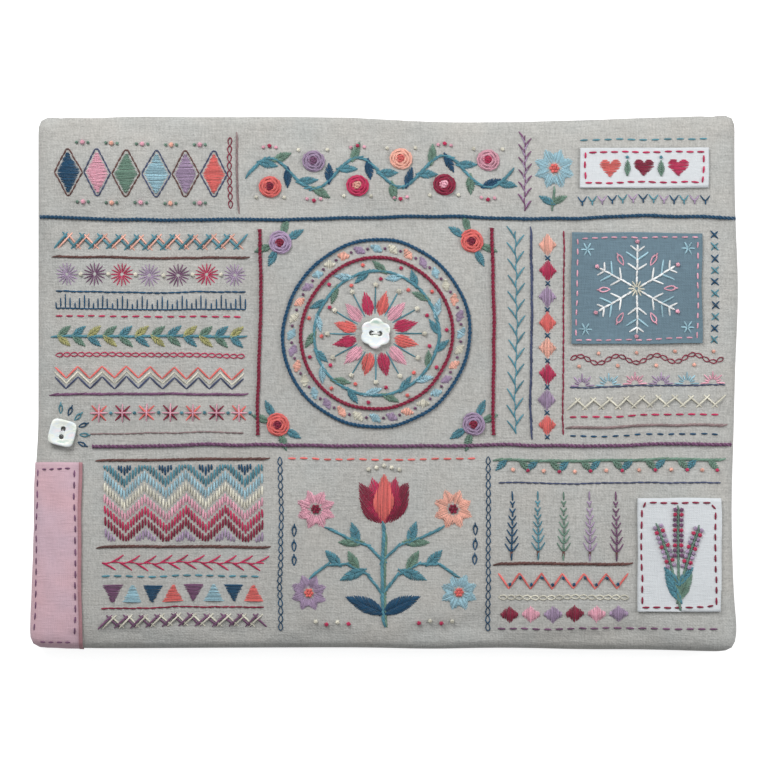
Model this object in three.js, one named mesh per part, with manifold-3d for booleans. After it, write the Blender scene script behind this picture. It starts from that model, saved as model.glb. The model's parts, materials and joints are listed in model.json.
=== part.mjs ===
// An embroidered, padded linen sewing pouch with a zip along its top edge.
// It lies on its back: +X runs along the zip, +Y points to the mouth, +Z out of the front. Millimetres.
// The origin is under the middle of the pouch, on the surface that it lies on.
import * as THREE from "three";
import { mergeVertices } from "three/addons/utils/BufferGeometryUtils.js";
import Module from "manifold-3d";

const wasm = await Module();
wasm.setup();

// Pouch
const pouchWidth = 280;
const pouchHeight = 212;
const cornerRadius = 7;
const sidePull = 1.2; // how far each side is drawn in between its corners
const rimWidth = 6; // width over which an edge rolls from the seam to the flat
const crownRise = 2.2; // how far the middle of the front stands above its rim
const crownReach = 92; // inset at which the crown is full

// Cloth
const linenThickness = 0.8;
const waddingThickness = 1.6;
const liningThickness = 0.5;
const layerGap = 0.3; // clearance between neighbouring layers
const hemDepth = 6; // linen turned in along the mouth
const patchThickness = 0.5;
const patchCorner = 1;

// Patches, placed by their distances from the pouch's edges
const pinkPatchWidth = 21;
const pinkPatchHeight = 75;
const bluePatch = { width: 52, height: 44, fromRight: 14, fromTop: 46 };
const stripPatch = { width: 51, height: 16, fromRight: 11.5, fromTop: 12 };
const tallPatch = { width: 33, height: 45, fromRight: 6.5, fromBottom: 15.5 };

// Buttons
const buttonThickness = 1.9;
const buttonEdge = 0.35; // bevel on a button's rims
const buttonHoleRadius = 1;
const buttonHoleSpacing = 3.3;
const buttonThread = 0.8; // diameter of the sewing thread
const flowerButton = { radius: 5.6, scallop: 0.5, petals: 6, turn: 0 };
const squareButton = { width: 10.2, corner: 2.8, turn: 1.42, fromLeft: 11, abovePatch: 11.8 };

// Couched cords that frame the embroidery
const borderCord = 1.4; // diameter
const topBorderDrop = 40; // from the top edge
const lowBorderRise = 81.6; // from the bottom edge
const leftBorderInset = 90; // from the left edge
const rightBorderInset = 97.2; // from the right edge
const borderMargin = 6; // from the pouch's sides to the ends of the cords
const borderGap = 4; // where a cord stops short of another, or of a patch
const medallionMargin = 8.2; // from the outer ring to the nearest straight cord
const medallionSpacing = 7; // between the two rings

// Mouth and zip
const mouthHeight = 8.6; // gap between the two hems
const mouthMargin = 8; // from a side of the pouch to the end of the mouth
const zipRecess = 8; // from the top edge down to the middle of the zip
const toothPitch = 2.8;
const toothReach = 0.75; // how far a tooth passes the middle of the chain
const toothThickness = 2;
const toothNeck = 0.85;
const toothHead = 1.3;
const chainRoom = 24; // from each end of the mouth to the row of teeth
const chainHalfWidth = 2; // from the middle of the chain to the back of its cord
const chainCord = 0.7; // width of the cord that carries the teeth
const tapeThickness = 0.5;
const tapeBend = 0.6; // inner radius where a tape turns along the lining
const tapeLeg = 10.5; // length of tape sewn to the lining
const tapeTail = 10; // tape left past the stops
const tapeClearance = 0.3;

// Slider and pull
const sliderLength = 9.5;
const sliderRearWidth = 5.8;
const sliderFrontWidth = 6.8;
const sliderPlate = 0.75;
const sliderWall = 0.7;
const sliderClearance = 0.25;
const diamondLength = 3;
const diamondWidth = 2.2;
const bridgeWidth = 1.6;
const bridgeStock = 1.1; // thickness of the loop's legs and of its crown
const bridgeSpan = 4.2; // clear length under the loop
const pullBar = 1.1; // thickness of the pull, and of the bar under the loop
const pullLength = 22;
const pullWidth = 5.2;
const pullTipWidth = 6.2;
const pullHole = 1.3;
const pullClearance = 0.3;
const stopLength = 2.6;
const stopWall = 0.6;

// Worked out from the sizes above
const halfWidth = pouchWidth / 2;
const halfHeight = pouchHeight / 2;
const edgeThickness = 2 * linenThickness + 2 * layerGap + waddingThickness;
const rimTop = mouthHeight + 2 * edgeThickness;
const seamHeight = rimTop / 2;
const mouthHalf = halfWidth - mouthMargin;
const liningOffset = linenThickness + layerGap + waddingThickness + layerGap;
const topOfFront = rimTop + crownRise;
const toothCount = Math.floor((2 * mouthHalf - 2 * chainRoom) / toothPitch);
const chainLength = toothPitch * toothCount;
const topBorder = halfHeight - topBorderDrop;
const lowBorder = -halfHeight + lowBorderRise;
const leftBorder = -halfWidth + leftBorderInset;
const rightBorder = halfWidth - rightBorderInset;
const medallionX = (leftBorder + rightBorder) / 2;
const medallionY = (topBorder + lowBorder) / 2;
const medallionOuter = Math.min(topBorder - lowBorder, rightBorder - leftBorder) / 2 - medallionMargin;
const medallionInner = medallionOuter - medallionSpacing;
const SIDE_STEPS = 6; // points along a side of an outline
const CORNER_STEPS = 4; // points round a corner of an outline
const FINE = { rim: 4, crown: 4 }; // rings from the seam to the flat, and from there to the top of the crown
const PLAIN = { rim: 2, crown: 3 };
const BEYOND = 40; // how far a cutting block runs past what it cuts

const materials = {
  linen: new THREE.MeshStandardMaterial({ color: "#b7b4ad", roughness: 0.92 }),
  wadding: new THREE.MeshStandardMaterial({ color: "#ece8df", roughness: 1 }),
  lining: new THREE.MeshStandardMaterial({ color: "#cfa4b2", roughness: 0.9 }),
  pinkCotton: new THREE.MeshStandardMaterial({ color: "#bf9fab", roughness: 0.9 }),
  blueCotton: new THREE.MeshStandardMaterial({ color: "#6d8b98", roughness: 0.9 }),
  whiteCotton: new THREE.MeshStandardMaterial({ color: "#dfe4e8", roughness: 0.9 }),
  pearl: new THREE.MeshStandardMaterial({ color: "#eef0ec", roughness: 0.25 }),
  thread: new THREE.MeshStandardMaterial({ color: "#e6e0d0", roughness: 0.8 }),
  petrolCord: new THREE.MeshStandardMaterial({ color: "#17496b", roughness: 0.7 }),
  crimsonCord: new THREE.MeshStandardMaterial({ color: "#a0143c", roughness: 0.7 }),
  plumCord: new THREE.MeshStandardMaterial({ color: "#6e4664", roughness: 0.7 }),
  zipTape: new THREE.MeshStandardMaterial({ color: "#a9a59b", roughness: 0.9 }),
  zipTeeth: new THREE.MeshStandardMaterial({ color: "#8f8a80", roughness: 0.45 }),
  zipMetal: new THREE.MeshStandardMaterial({ color: "#9c968a", roughness: 0.35, metalness: 1 }),
};

// Solids and booleans

function solid(geometry) {
  const bare = geometry.index ? geometry.toNonIndexed() : geometry.clone();
  const positions = new THREE.BufferGeometry().setAttribute("position", bare.getAttribute("position"));
  const merged = mergeVertices(positions, 1e-4);
  return new wasm.Manifold(
    new wasm.Mesh({
      numProp: 3,
      vertProperties: merged.attributes.position.array,
      triVerts: new Uint32Array(merged.index.array),
    }),
  );
}

function geometryOf(body) {
  const mesh = body.getMesh();
  const geometry = new THREE.BufferGeometry();
  geometry.setAttribute("position", new THREE.BufferAttribute(mesh.vertProperties, 3));
  geometry.setIndex(new THREE.BufferAttribute(mesh.triVerts, 1));
  geometry.computeVertexNormals();
  return geometry;
}

function named(name, body, material) {
  const geometry = body.isBufferGeometry ? body : geometryOf(body);
  const mesh = new THREE.Mesh(geometry, material);
  mesh.name = name;
  return mesh;
}

// A block between two corners.
function block(low, high) {
  const size = new THREE.Vector3().subVectors(high, low);
  const middle = new THREE.Vector3().addVectors(low, high).multiplyScalar(0.5);
  return solid(new THREE.BoxGeometry(size.x, size.y, size.z).translate(middle.x, middle.y, middle.z));
}

// A flat outline raised from height low to height high.
function prism(shape, low, high, curveSegments = 6) {
  const geometry = new THREE.ExtrudeGeometry(shape, { depth: high - low, bevelEnabled: false, curveSegments });
  return solid(geometry.translate(0, 0, low));
}

// An outline raised from 0 to height, with its rims eased by a bevel that stays inside the outline.
function easedPrism(shape, height, bevel, curveSegments = 6) {
  const geometry = new THREE.ExtrudeGeometry(shape, {
    depth: height - 2 * bevel,
    bevelEnabled: true,
    bevelThickness: bevel,
    bevelSize: bevel,
    bevelOffset: -bevel,
    bevelSegments: 1,
    curveSegments,
  });
  return solid(geometry.translate(0, 0, bevel));
}

function roundedRectangle(width, height, radius, x = 0, y = 0) {
  const shape = new THREE.Shape();
  const right = x + width / 2;
  const left = x - width / 2;
  const top = y + height / 2;
  const bottom = y - height / 2;
  shape.absarc(right - radius, bottom + radius, radius, -Math.PI / 2, 0);
  shape.absarc(right - radius, top - radius, radius, 0, Math.PI / 2);
  shape.absarc(left + radius, top - radius, radius, Math.PI / 2, Math.PI);
  shape.absarc(left + radius, bottom + radius, radius, Math.PI, 1.5 * Math.PI);
  shape.closePath();
  return shape;
}

// Pouch surfaces. A surface is a section of [inset, height] points that is carried round the outline.

// The pouch's outline, moved in by inset: rounded corners, and sides that draw in between them.
function outlineRing(inset, height) {
  const a = halfWidth - inset;
  const b = halfHeight - inset;
  const inward = Math.max(inset, 0);
  const radius = Math.min(cornerRadius + 0.3 * inward - Math.min(inset, 0), 0.9 * b);
  const pull = sidePull * Math.max(0, 1 - inward / crownReach);
  const quarter = [
    [a - radius, b - radius],
    [-a + radius, b - radius],
    [-a + radius, -b + radius],
    [a - radius, -b + radius],
  ];
  const ring = [];
  quarter.forEach(([cx, cy], corner) => {
    const start = (corner * Math.PI) / 2;
    for (let i = 0; i <= CORNER_STEPS; i++) {
      const angle = start + (i / CORNER_STEPS) * (Math.PI / 2);
      ring.push(new THREE.Vector3(cx + radius * Math.cos(angle), cy + radius * Math.sin(angle), height));
    }
    const [nx, ny] = quarter[(corner + 1) % 4];
    const side = start + Math.PI / 2;
    for (let i = 1; i < SIDE_STEPS; i++) {
      const t = i / SIDE_STEPS;
      const reach = radius - pull * (1 - (2 * t - 1) ** 2);
      const x = cx + (nx - cx) * t + reach * Math.cos(side);
      const y = cy + (ny - cy) * t + reach * Math.sin(side);
      ring.push(new THREE.Vector3(x, y, height));
    }
  });
  return ring;
}

// The section of the front, from the seam to the middle, moved inwards through the layers by offset.
function frontSection(offset, steps) {
  const foot = seamHeight + layerGap / 2;
  const section = [];
  for (let i = 0; i <= steps.rim; i++) {
    const angle = (i / steps.rim) * (Math.PI / 2);
    const inset = rimWidth - (rimWidth - offset) * Math.cos(angle);
    section.push([inset, foot + (rimTop - offset - foot) * Math.sin(angle)]);
  }
  for (let i = 1; i <= steps.crown; i++) {
    const t = i / steps.crown;
    section.push([rimWidth + (crownReach - rimWidth) * t, rimTop - offset + crownRise * (1 - (1 - t) ** 2)]);
  }
  return section;
}

// The section of the back, from the seam to the flat that the pouch lies on, moved inwards by offset.
function backSection(offset, steps) {
  const foot = seamHeight - layerGap / 2;
  const section = [];
  for (let i = 0; i <= steps.rim; i++) {
    const angle = (i / steps.rim) * (Math.PI / 2);
    const inset = rimWidth - (rimWidth - offset) * Math.cos(angle);
    section.push([inset, foot - (foot - offset) * Math.sin(angle)]);
  }
  return section;
}

// A closed body through a row of rings, with a flat cap on the first and the last.
function loft(rings) {
  const count = rings[0].length;
  const points = rings.flat();
  const triangles = [];
  for (let r = 0; r + 1 < rings.length; r++) {
    for (let i = 0; i < count; i++) {
      const a = r * count + i;
      const b = r * count + ((i + 1) % count);
      triangles.push(a, a + count, b, b, a + count, b + count);
    }
  }
  const cap = (ring, first, forward) => {
    const middle = points.length;
    points.push(ring.reduce((sum, p) => sum.add(p), new THREE.Vector3()).divideScalar(count));
    for (let i = 0; i < count; i++) {
      const next = (i + 1) % count;
      if (forward) triangles.push(middle, first + i, first + next);
      else triangles.push(middle, first + next, first + i);
    }
  };
  cap(rings[0], 0, true);
  cap(rings[rings.length - 1], (rings.length - 1) * count, false);
  const geometry = new THREE.BufferGeometry().setFromPoints(points).setIndex(triangles);
  return solid(geometry);
}

const ringsOf = (section) => section.map(([inset, height]) => outlineRing(inset, height));

// A layer of the front between two offsets, from its crown out to the seam and back inside.
function frontLayer(outer, inner, steps) {
  return loft([...ringsOf(frontSection(outer, steps)).reverse(), ...ringsOf(frontSection(inner, steps))]);
}

// A layer of the back between two offsets.
function backLayer(outer, inner, steps) {
  return loft([...ringsOf(backSection(inner, steps)).reverse(), ...ringsOf(backSection(outer, steps))]);
}

// Everything inside the outer surface, as one body.
const filledPouch = loft([...ringsOf(frontSection(0, FINE)).reverse(), ...ringsOf(backSection(0, FINE))]);

// The height of the front's outer surface over a point that is clear of the rim.
function frontHeight(x, y) {
  const inset = Math.min(halfWidth - Math.abs(x), halfHeight - Math.abs(y));
  const t = THREE.MathUtils.clamp((inset - rimWidth) / (crownReach - rimWidth), 0, 1);
  return rimTop + crownRise * (1 - (1 - t) ** 2);
}

// Mouth

const mouthLow = seamHeight - mouthHeight / 2;
const mouthHigh = seamHeight + mouthHeight / 2;
const hemStart = halfHeight - hemDepth;

// A block across the mouth, from the inner edge of the hems out past the top edge.
function mouthBlock(low, high, grow = 0) {
  return block(
    new THREE.Vector3(-mouthHalf - grow, hemStart - grow, low),
    new THREE.Vector3(mouthHalf + grow, halfHeight + BEYOND, high),
  );
}

const mouthGap = mouthBlock(mouthLow, mouthHigh);
const hemClear = linenThickness + layerGap;
const hemZone = mouthBlock(mouthLow - hemClear, mouthHigh + hemClear, layerGap);

// Linen shells, each with its hem turned in along the mouth
function makeFrontPanel() {
  const hem = mouthBlock(mouthHigh, mouthHigh + linenThickness).intersect(filledPouch);
  return frontLayer(0, linenThickness, FINE).subtract(mouthGap).add(hem);
}

function makeBackPanel() {
  const hem = mouthBlock(mouthLow - linenThickness, mouthLow).intersect(filledPouch);
  return backLayer(0, linenThickness, FINE).subtract(mouthGap).add(hem);
}

// Wadding, trimmed clear of the hems and of the side seams
function makeWadding(layer, low, high) {
  const outer = linenThickness + layerGap;
  const seamZone = block(
    new THREE.Vector3(-pouchWidth, -pouchHeight, low),
    new THREE.Vector3(pouchWidth, pouchHeight, high),
  );
  return layer(outer, outer + waddingThickness, PLAIN).subtract(seamZone).subtract(hemZone);
}

// Lining, a bag of two halves that stops at the hems
function makeLining(layer) {
  return layer(liningOffset, liningOffset + liningThickness, PLAIN).subtract(hemZone);
}

// Patches follow the front's outer surface
function makePatch(outline) {
  const skin = frontLayer(-layerGap - patchThickness, -layerGap, FINE);
  return skin.intersect(prism(outline, 0, topOfFront + BEYOND));
}

function hungPatch({ width, height, fromRight, fromTop }) {
  const x = halfWidth - fromRight - width / 2;
  return makePatch(roundedRectangle(width, height, patchCorner, x, halfHeight - fromTop - height / 2));
}

function standingPatch({ width, height, fromRight, fromBottom }) {
  const x = halfWidth - fromRight - width / 2;
  return makePatch(roundedRectangle(width, height, patchCorner, x, -halfHeight + fromBottom + height / 2));
}

// The pink patch laps round the lower left corner, so its outline runs off the pouch there.
function makePinkPatch() {
  const right = -halfWidth + pinkPatchWidth;
  const top = -halfHeight + pinkPatchHeight;
  const width = pinkPatchWidth + BEYOND;
  const height = pinkPatchHeight + BEYOND;
  return makePatch(roundedRectangle(width, height, patchCorner, right - width / 2, top - height / 2));
}

// Buttons

function buttonHoles(depth) {
  const hole = new THREE.CylinderGeometry(buttonHoleRadius, buttonHoleRadius, depth, 12).rotateX(Math.PI / 2);
  const first = solid(hole.clone().translate(buttonHoleSpacing / 2, 0, buttonThickness / 2));
  const second = solid(hole.clone().translate(-buttonHoleSpacing / 2, 0, buttonThickness / 2));
  return first.add(second);
}

// A round button whose rim swells into petals
function makeFlowerButton() {
  const { radius, scallop, petals } = flowerButton;
  const steps = petals * 8;
  const rim = [];
  for (let i = 0; i < steps; i++) {
    const angle = (i / steps) * 2 * Math.PI;
    const reach = radius + scallop * Math.cos(petals * (angle - Math.PI / 2));
    rim.push(new THREE.Vector2(reach * Math.cos(angle), reach * Math.sin(angle)));
  }
  const body = easedPrism(new THREE.Shape(rim), buttonThickness, buttonEdge);
  return body.subtract(buttonHoles(2 * buttonThickness));
}

// A cushion-shaped button with an eye-shaped groove that joins its two holes
function makeSquareButton() {
  const { width, corner } = squareButton;
  const body = easedPrism(roundedRectangle(width, width, corner), buttonThickness, buttonEdge, 4);
  const groove = roundedRectangle(buttonHoleSpacing, buttonThread + layerGap, (buttonThread + layerGap) / 2.1);
  const sunk = prism(groove, buttonThickness - buttonThread, 2 * buttonThickness, 3);
  return body.subtract(buttonHoles(2 * buttonThickness)).subtract(sunk);
}

// The sewing thread, down one hole, across and down the other; sunk is how deep it lies in a groove.
function makeButtonThread(sunk) {
  const half = buttonHoleSpacing / 2;
  const top = buttonThickness + layerGap + buttonThread / 2 - sunk;
  const bend = buttonThread * 0.9;
  const path = new THREE.CurvePath();
  const at = (x, z) => new THREE.Vector3(x, 0, z);
  path.add(new THREE.LineCurve3(at(-half, 0), at(-half, top - bend)));
  path.add(new THREE.QuadraticBezierCurve3(at(-half, top - bend), at(-half, top), at(-half + bend, top)));
  path.add(new THREE.LineCurve3(at(-half + bend, top), at(half - bend, top)));
  path.add(new THREE.QuadraticBezierCurve3(at(half - bend, top), at(half, top), at(half, top - bend)));
  path.add(new THREE.LineCurve3(at(half, top - bend), at(half, 0)));
  const section = new THREE.Shape().absarc(0, 0, buttonThread / 2, 0, 2 * Math.PI);
  return solid(new THREE.ExtrudeGeometry(section, { extrudePath: path, steps: 16, curveSegments: 4 }));
}

// A button and its thread, set on the front.
function sewnButton(name, [x, y], turn, reach, body, sunk) {
  const group = new THREE.Group();
  const seat = Math.max(frontHeight(x - reach, y), frontHeight(x + reach, y));
  group.position.set(x, y, seat + layerGap);
  group.rotation.z = turn;
  group.add(named(name, body, materials.pearl));
  group.add(named(name + "_thread", makeButtonThread(sunk), materials.thread));
  return group;
}

function sewnFlower() {
  const { turn, radius } = flowerButton;
  return sewnButton("flower_button", [medallionX, medallionY], turn, radius, makeFlowerButton(), 0);
}

function sewnSquare() {
  const { turn, width, fromLeft, abovePatch } = squareButton;
  const place = [-halfWidth + fromLeft, -halfHeight + pinkPatchHeight + abovePatch];
  return sewnButton("square_button", place, turn, width / 2, makeSquareButton(), buttonThread);
}

// Border cords

// A cord laid on the front through points, with two ends or closed into a ring.
function makeCord(points, closed) {
  const rise = layerGap + borderCord / 2;
  const path = new THREE.CatmullRomCurve3(
    points.map(([x, y]) => new THREE.Vector3(x, y, frontHeight(x, y) + rise)),
    closed,
  );
  if (closed) return solid(new THREE.TubeGeometry(path, points.length, borderCord / 2, 6, true));
  const section = new THREE.Shape().absarc(0, 0, borderCord / 2, 0, 2 * Math.PI);
  const options = { extrudePath: path, steps: points.length, curveSegments: 3 };
  return solid(new THREE.ExtrudeGeometry(section, options));
}

function straightCord(from, to) {
  const steps = 12;
  const points = [];
  for (let i = 0; i <= steps; i++) {
    const t = i / steps;
    points.push([from[0] + (to[0] - from[0]) * t, from[1] + (to[1] - from[1]) * t]);
  }
  return makeCord(points, false);
}

function ringCord(radius) {
  const steps = 36;
  const points = [];
  for (let i = 0; i < steps; i++) {
    const angle = (i / steps) * 2 * Math.PI;
    points.push([medallionX + radius * Math.cos(angle), medallionY + radius * Math.sin(angle)]);
  }
  return makeCord(points, true);
}

function makeBorders() {
  const borders = new THREE.Group();
  const reach = halfWidth - borderMargin;
  const afterPatch = -halfWidth + pinkPatchWidth + borderGap;
  const top = straightCord([-reach, topBorder], [reach, topBorder]);
  const low = straightCord([afterPatch, lowBorder], [reach, lowBorder]);
  const left = straightCord([leftBorder, lowBorder + borderGap], [leftBorder, topBorder - borderGap]);
  const right = straightCord([rightBorder, lowBorder + borderGap], [rightBorder, topBorder - borderGap]);
  borders.add(named("top_border_cord", top, materials.petrolCord));
  borders.add(named("low_border_cord", low, materials.plumCord));
  borders.add(named("left_border_cord", left, materials.crimsonCord));
  borders.add(named("right_border_cord", right, materials.crimsonCord));
  borders.add(named("medallion_outer_cord", ringCord(medallionOuter), materials.petrolCord));
  borders.add(named("medallion_inner_cord", ringCord(medallionInner), materials.crimsonCord));
  return borders;
}

// Zip. In its own frame X runs along the chain, -Y to the front half, and Z out of the mouth.

const chainStart = -chainLength / 2 - toothPitch / 4;
const chainEnd = chainLength / 2 + toothPitch / 4;
const diamondRear = 0.6; // from the middle of the slider to its wedge
const closedPlace = chainEnd + tapeClearance - diamondRear;
const innerHalf = toothThickness / 2 + sliderClearance;
const sliderTop = innerHalf + sliderPlate;
const pivotHeight = sliderTop + pullClearance + pullBar / 2;
const stopPlace = closedPlace + sliderLength / 2 + tapeClearance + stopLength / 2;
const bottomPlace = chainStart - tapeClearance - stopLength / 2;
const tapeLegFace = mouthHeight / 2 + layerGap - tapeClearance; // outer face of the tape's sewn leg

// Half of the chain: a cord with a row of teeth, whose heads lock behind the necks of the other half.
// side is -1 for the front half and 1 for the back half, and shift moves its teeth along the chain.
function makeTeeth(side, shift) {
  const outer = side * chainHalfWidth;
  const inner = side * (chainHalfWidth - chainCord);
  const widest = -side * toothReach * 0.55;
  const tip = -side * toothReach;
  const start = -chainLength / 2 + shift;
  const outline = [];
  outline.push(new THREE.Vector2(start, outer));
  outline.push(new THREE.Vector2(start, inner));
  for (let i = 0; i < toothCount; i++) {
    const middle = start + (i + 0.5) * toothPitch;
    outline.push(new THREE.Vector2(middle - toothNeck / 2, inner));
    outline.push(new THREE.Vector2(middle - toothHead / 2, widest));
    outline.push(new THREE.Vector2(middle - toothNeck / 2, tip));
    outline.push(new THREE.Vector2(middle + toothNeck / 2, tip));
    outline.push(new THREE.Vector2(middle + toothHead / 2, widest));
    outline.push(new THREE.Vector2(middle + toothNeck / 2, inner));
  }
  outline.push(new THREE.Vector2(start + chainLength, inner));
  outline.push(new THREE.Vector2(start + chainLength, outer));
  return prism(new THREE.Shape(outline), -toothThickness / 2, toothThickness / 2);
}

// A woven tape: out from the chain's cord, then turned down to lie along the lining.
function makeTape(side) {
  const half = tapeThickness / 2;
  const start = chainHalfWidth + tapeClearance / 2;
  const bendAt = tapeLegFace - tapeThickness - tapeBend;
  const centre = -half - tapeBend;
  const shape = new THREE.Shape();
  shape.moveTo(start, -half);
  shape.lineTo(start, half);
  shape.absarc(bendAt, centre, tapeBend + tapeThickness, Math.PI / 2, 0, true);
  shape.lineTo(tapeLegFace, -tapeLeg);
  shape.lineTo(tapeLegFace - tapeThickness, -tapeLeg);
  shape.absarc(bendAt, centre, tapeBend, 0, Math.PI / 2, false);
  shape.closePath();
  const low = bottomPlace - stopLength / 2 - tapeTail;
  const high = stopPlace + stopLength / 2 + tapeTail;
  const length = high - low;
  const geometry = new THREE.ExtrudeGeometry(shape, { depth: length, bevelEnabled: false, curveSegments: 4 });
  // The section's own X and Y become the tape's Y and Z, and its depth runs along the chain.
  const turned = geometry.rotateX(Math.PI / 2).rotateZ(Math.PI / 2).translate(low, 0, 0);
  return side > 0 ? solid(turned) : solid(turned.rotateZ(Math.PI).translate(low + high, 0, 0));
}

// A stop clamped on the edge of one tape: a block with a slot for the tape.
function makeTopStop(side) {
  const inner = chainHalfWidth - stopWall;
  const outer = chainHalfWidth + 2 * stopWall;
  const clip = block(
    new THREE.Vector3(-stopLength / 2, inner, -toothThickness / 2),
    new THREE.Vector3(stopLength / 2, outer, toothThickness / 2),
  );
  const slot = block(
    new THREE.Vector3(-stopLength, chainHalfWidth, -tapeThickness / 2 - tapeClearance / 2),
    new THREE.Vector3(stopLength, outer + 1, tapeThickness / 2 + tapeClearance / 2),
  );
  const made = clip.subtract(slot);
  return side > 0 ? made : made.rotate([0, 0, 180]);
}

// The stop at the other end bridges both tapes.
function makeBottomStop() {
  const reach = chainHalfWidth + 2 * stopWall;
  const clip = block(
    new THREE.Vector3(-stopLength / 2, -reach, -toothThickness / 2),
    new THREE.Vector3(stopLength / 2, reach, toothThickness / 2),
  );
  const slotHalf = tapeThickness / 2 + tapeClearance / 2;
  const slot = (from, to) =>
    block(new THREE.Vector3(-stopLength, from, -slotHalf), new THREE.Vector3(stopLength, to, slotHalf));
  return clip.subtract(slot(chainHalfWidth, reach + 1)).subtract(slot(-reach - 1, -chainHalfWidth));
}

// The slider's plan, waisted at the rear and wide at the front, moved in by inset and run on past its ends.
function sliderPlan(inset, runOn) {
  const rear = sliderRearWidth / 2 - inset;
  const front = sliderFrontWidth / 2 - inset;
  const half = sliderLength / 2;
  const shoulder = diamondRear + diamondLength / 2;
  const nose = runOn > 0 ? front : front * 0.8;
  const side = [
    [-half - runOn, rear],
    [-diamondRear, rear],
    [shoulder, front],
    [half - sliderPlate, front],
    [half + runOn, nose],
  ];
  const mirrored = side.map(([x, y]) => [x, -y]).reverse();
  return [...side, ...mirrored].reverse().map(([x, y]) => new THREE.Vector2(x, y));
}

// The loop that holds the pull: an arch along the slider's top plate.
function makeBridge() {
  const clear = pullClearance + pullBar + pullClearance;
  const outerHalf = bridgeSpan / 2 + bridgeStock;
  const crown = clear + bridgeStock;
  const arch = new THREE.Shape();
  arch.moveTo(-outerHalf, -sliderPlate / 2);
  arch.lineTo(outerHalf, -sliderPlate / 2);
  arch.lineTo(outerHalf, crown - bridgeStock);
  arch.absarc(outerHalf - bridgeStock, crown - bridgeStock, bridgeStock, 0, Math.PI / 2);
  arch.absarc(-outerHalf + bridgeStock, crown - bridgeStock, bridgeStock, Math.PI / 2, Math.PI);
  arch.closePath();
  const window = [
    new THREE.Vector2(-bridgeSpan / 2, 0),
    new THREE.Vector2(bridgeSpan / 2, 0),
    new THREE.Vector2(bridgeSpan / 2, clear),
    new THREE.Vector2(-bridgeSpan / 2, clear),
  ];
  arch.holes.push(new THREE.Path(window));
  const options = { depth: bridgeWidth, bevelEnabled: false, curveSegments: 4 };
  const geometry = new THREE.ExtrudeGeometry(arch, options).translate(0, 0, -bridgeWidth / 2);
  return solid(geometry.rotateX(Math.PI / 2).translate(0, 0, sliderTop));
}

// Two plates joined by a wedge in front, with walls that hold the teeth and slots that let the tapes out.
function makeSlider() {
  const plan = new THREE.Shape(sliderPlan(0, 0));
  const body = easedPrism(plan, 2 * sliderTop, sliderPlate / 2).translate([0, 0, -sliderTop]);
  const channel = new THREE.Shape(sliderPlan(sliderWall, 1));
  const wedge = [
    new THREE.Vector2(diamondRear, 0),
    new THREE.Vector2(diamondRear + diamondLength * 0.6, diamondWidth / 2),
    new THREE.Vector2(diamondRear + diamondLength, 0),
    new THREE.Vector2(diamondRear + diamondLength * 0.6, -diamondWidth / 2),
  ];
  channel.holes.push(new THREE.Path(wedge));
  const slotHalf = tapeThickness / 2 + tapeClearance;
  const slot = (from, to) =>
    block(new THREE.Vector3(-sliderLength, from, -slotHalf), new THREE.Vector3(sliderLength, to, slotHalf));
  const inner = sliderRearWidth / 2 - sliderWall - 0.1;
  return body
    .subtract(prism(channel, -innerHalf, innerHalf))
    .subtract(slot(inner, sliderFrontWidth))
    .subtract(slot(-sliderFrontWidth, -inner))
    .add(makeBridge());
}

// The pull: a bar under the loop, two rails beside it, and a tab that widens to a rounded tip.
function makePull() {
  const bar = pullBar / 2;
  const half = pullWidth / 2;
  const tip = pullTipWidth / 2;
  const plan = new THREE.Shape();
  plan.moveTo(bar, -half);
  plan.lineTo(bar, half);
  plan.lineTo(-pullLength / 3, half);
  plan.lineTo(-pullLength + tip, tip);
  plan.absarc(-pullLength + tip, 0, tip, Math.PI / 2, 1.5 * Math.PI);
  plan.lineTo(-pullLength / 3, -half);
  plan.closePath();
  const eyeHalf = bridgeWidth / 2 + 2 * pullClearance;
  const loopReach = Math.hypot(bridgeSpan / 2 + bridgeStock, pullBar / 2 + pullClearance + bridgeStock);
  const eyeEnd = -loopReach - pullClearance;
  const eye = [
    new THREE.Vector2(-bar, -eyeHalf),
    new THREE.Vector2(-bar, eyeHalf),
    new THREE.Vector2(eyeEnd, eyeHalf),
    new THREE.Vector2(eyeEnd, -eyeHalf),
  ];
  plan.holes.push(new THREE.Path(eye));
  plan.holes.push(new THREE.Path().absarc(-pullLength + tip, 0, pullHole, 0, 2 * Math.PI));
  return prism(plan, -bar, bar);
}

function makeZip() {
  const zip = new THREE.Group();
  zip.rotation.x = -Math.PI / 2; // its Z now points out of the mouth, and its -Y to the front
  zip.position.set(0, halfHeight - zipRecess, seamHeight);
  zip.add(named("zip_teeth_front", makeTeeth(-1, -toothPitch / 4), materials.zipTeeth));
  zip.add(named("zip_teeth_back", makeTeeth(1, toothPitch / 4), materials.zipTeeth));
  zip.add(named("zip_tape_front", makeTape(-1), materials.zipTape));
  zip.add(named("zip_tape_back", makeTape(1), materials.zipTape));
  const frontStop = named("zip_top_stop_front", makeTopStop(-1), materials.zipMetal);
  frontStop.position.x = stopPlace;
  const backStop = named("zip_top_stop_back", makeTopStop(1), materials.zipMetal);
  backStop.position.x = stopPlace;
  const bottomStop = named("zip_bottom_stop", makeBottomStop(), materials.zipMetal);
  bottomStop.position.x = bottomPlace;
  const runner = new THREE.Group();
  runner.position.x = closedPlace;
  runner.add(named("zip_slider", makeSlider(), materials.zipMetal));
  const pull = named("zip_pull", makePull(), materials.zipMetal);
  pull.position.z = pivotHeight;
  runner.add(pull);
  zip.add(frontStop, backStop, bottomStop, runner);
  return zip;
}

// The pouch

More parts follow.
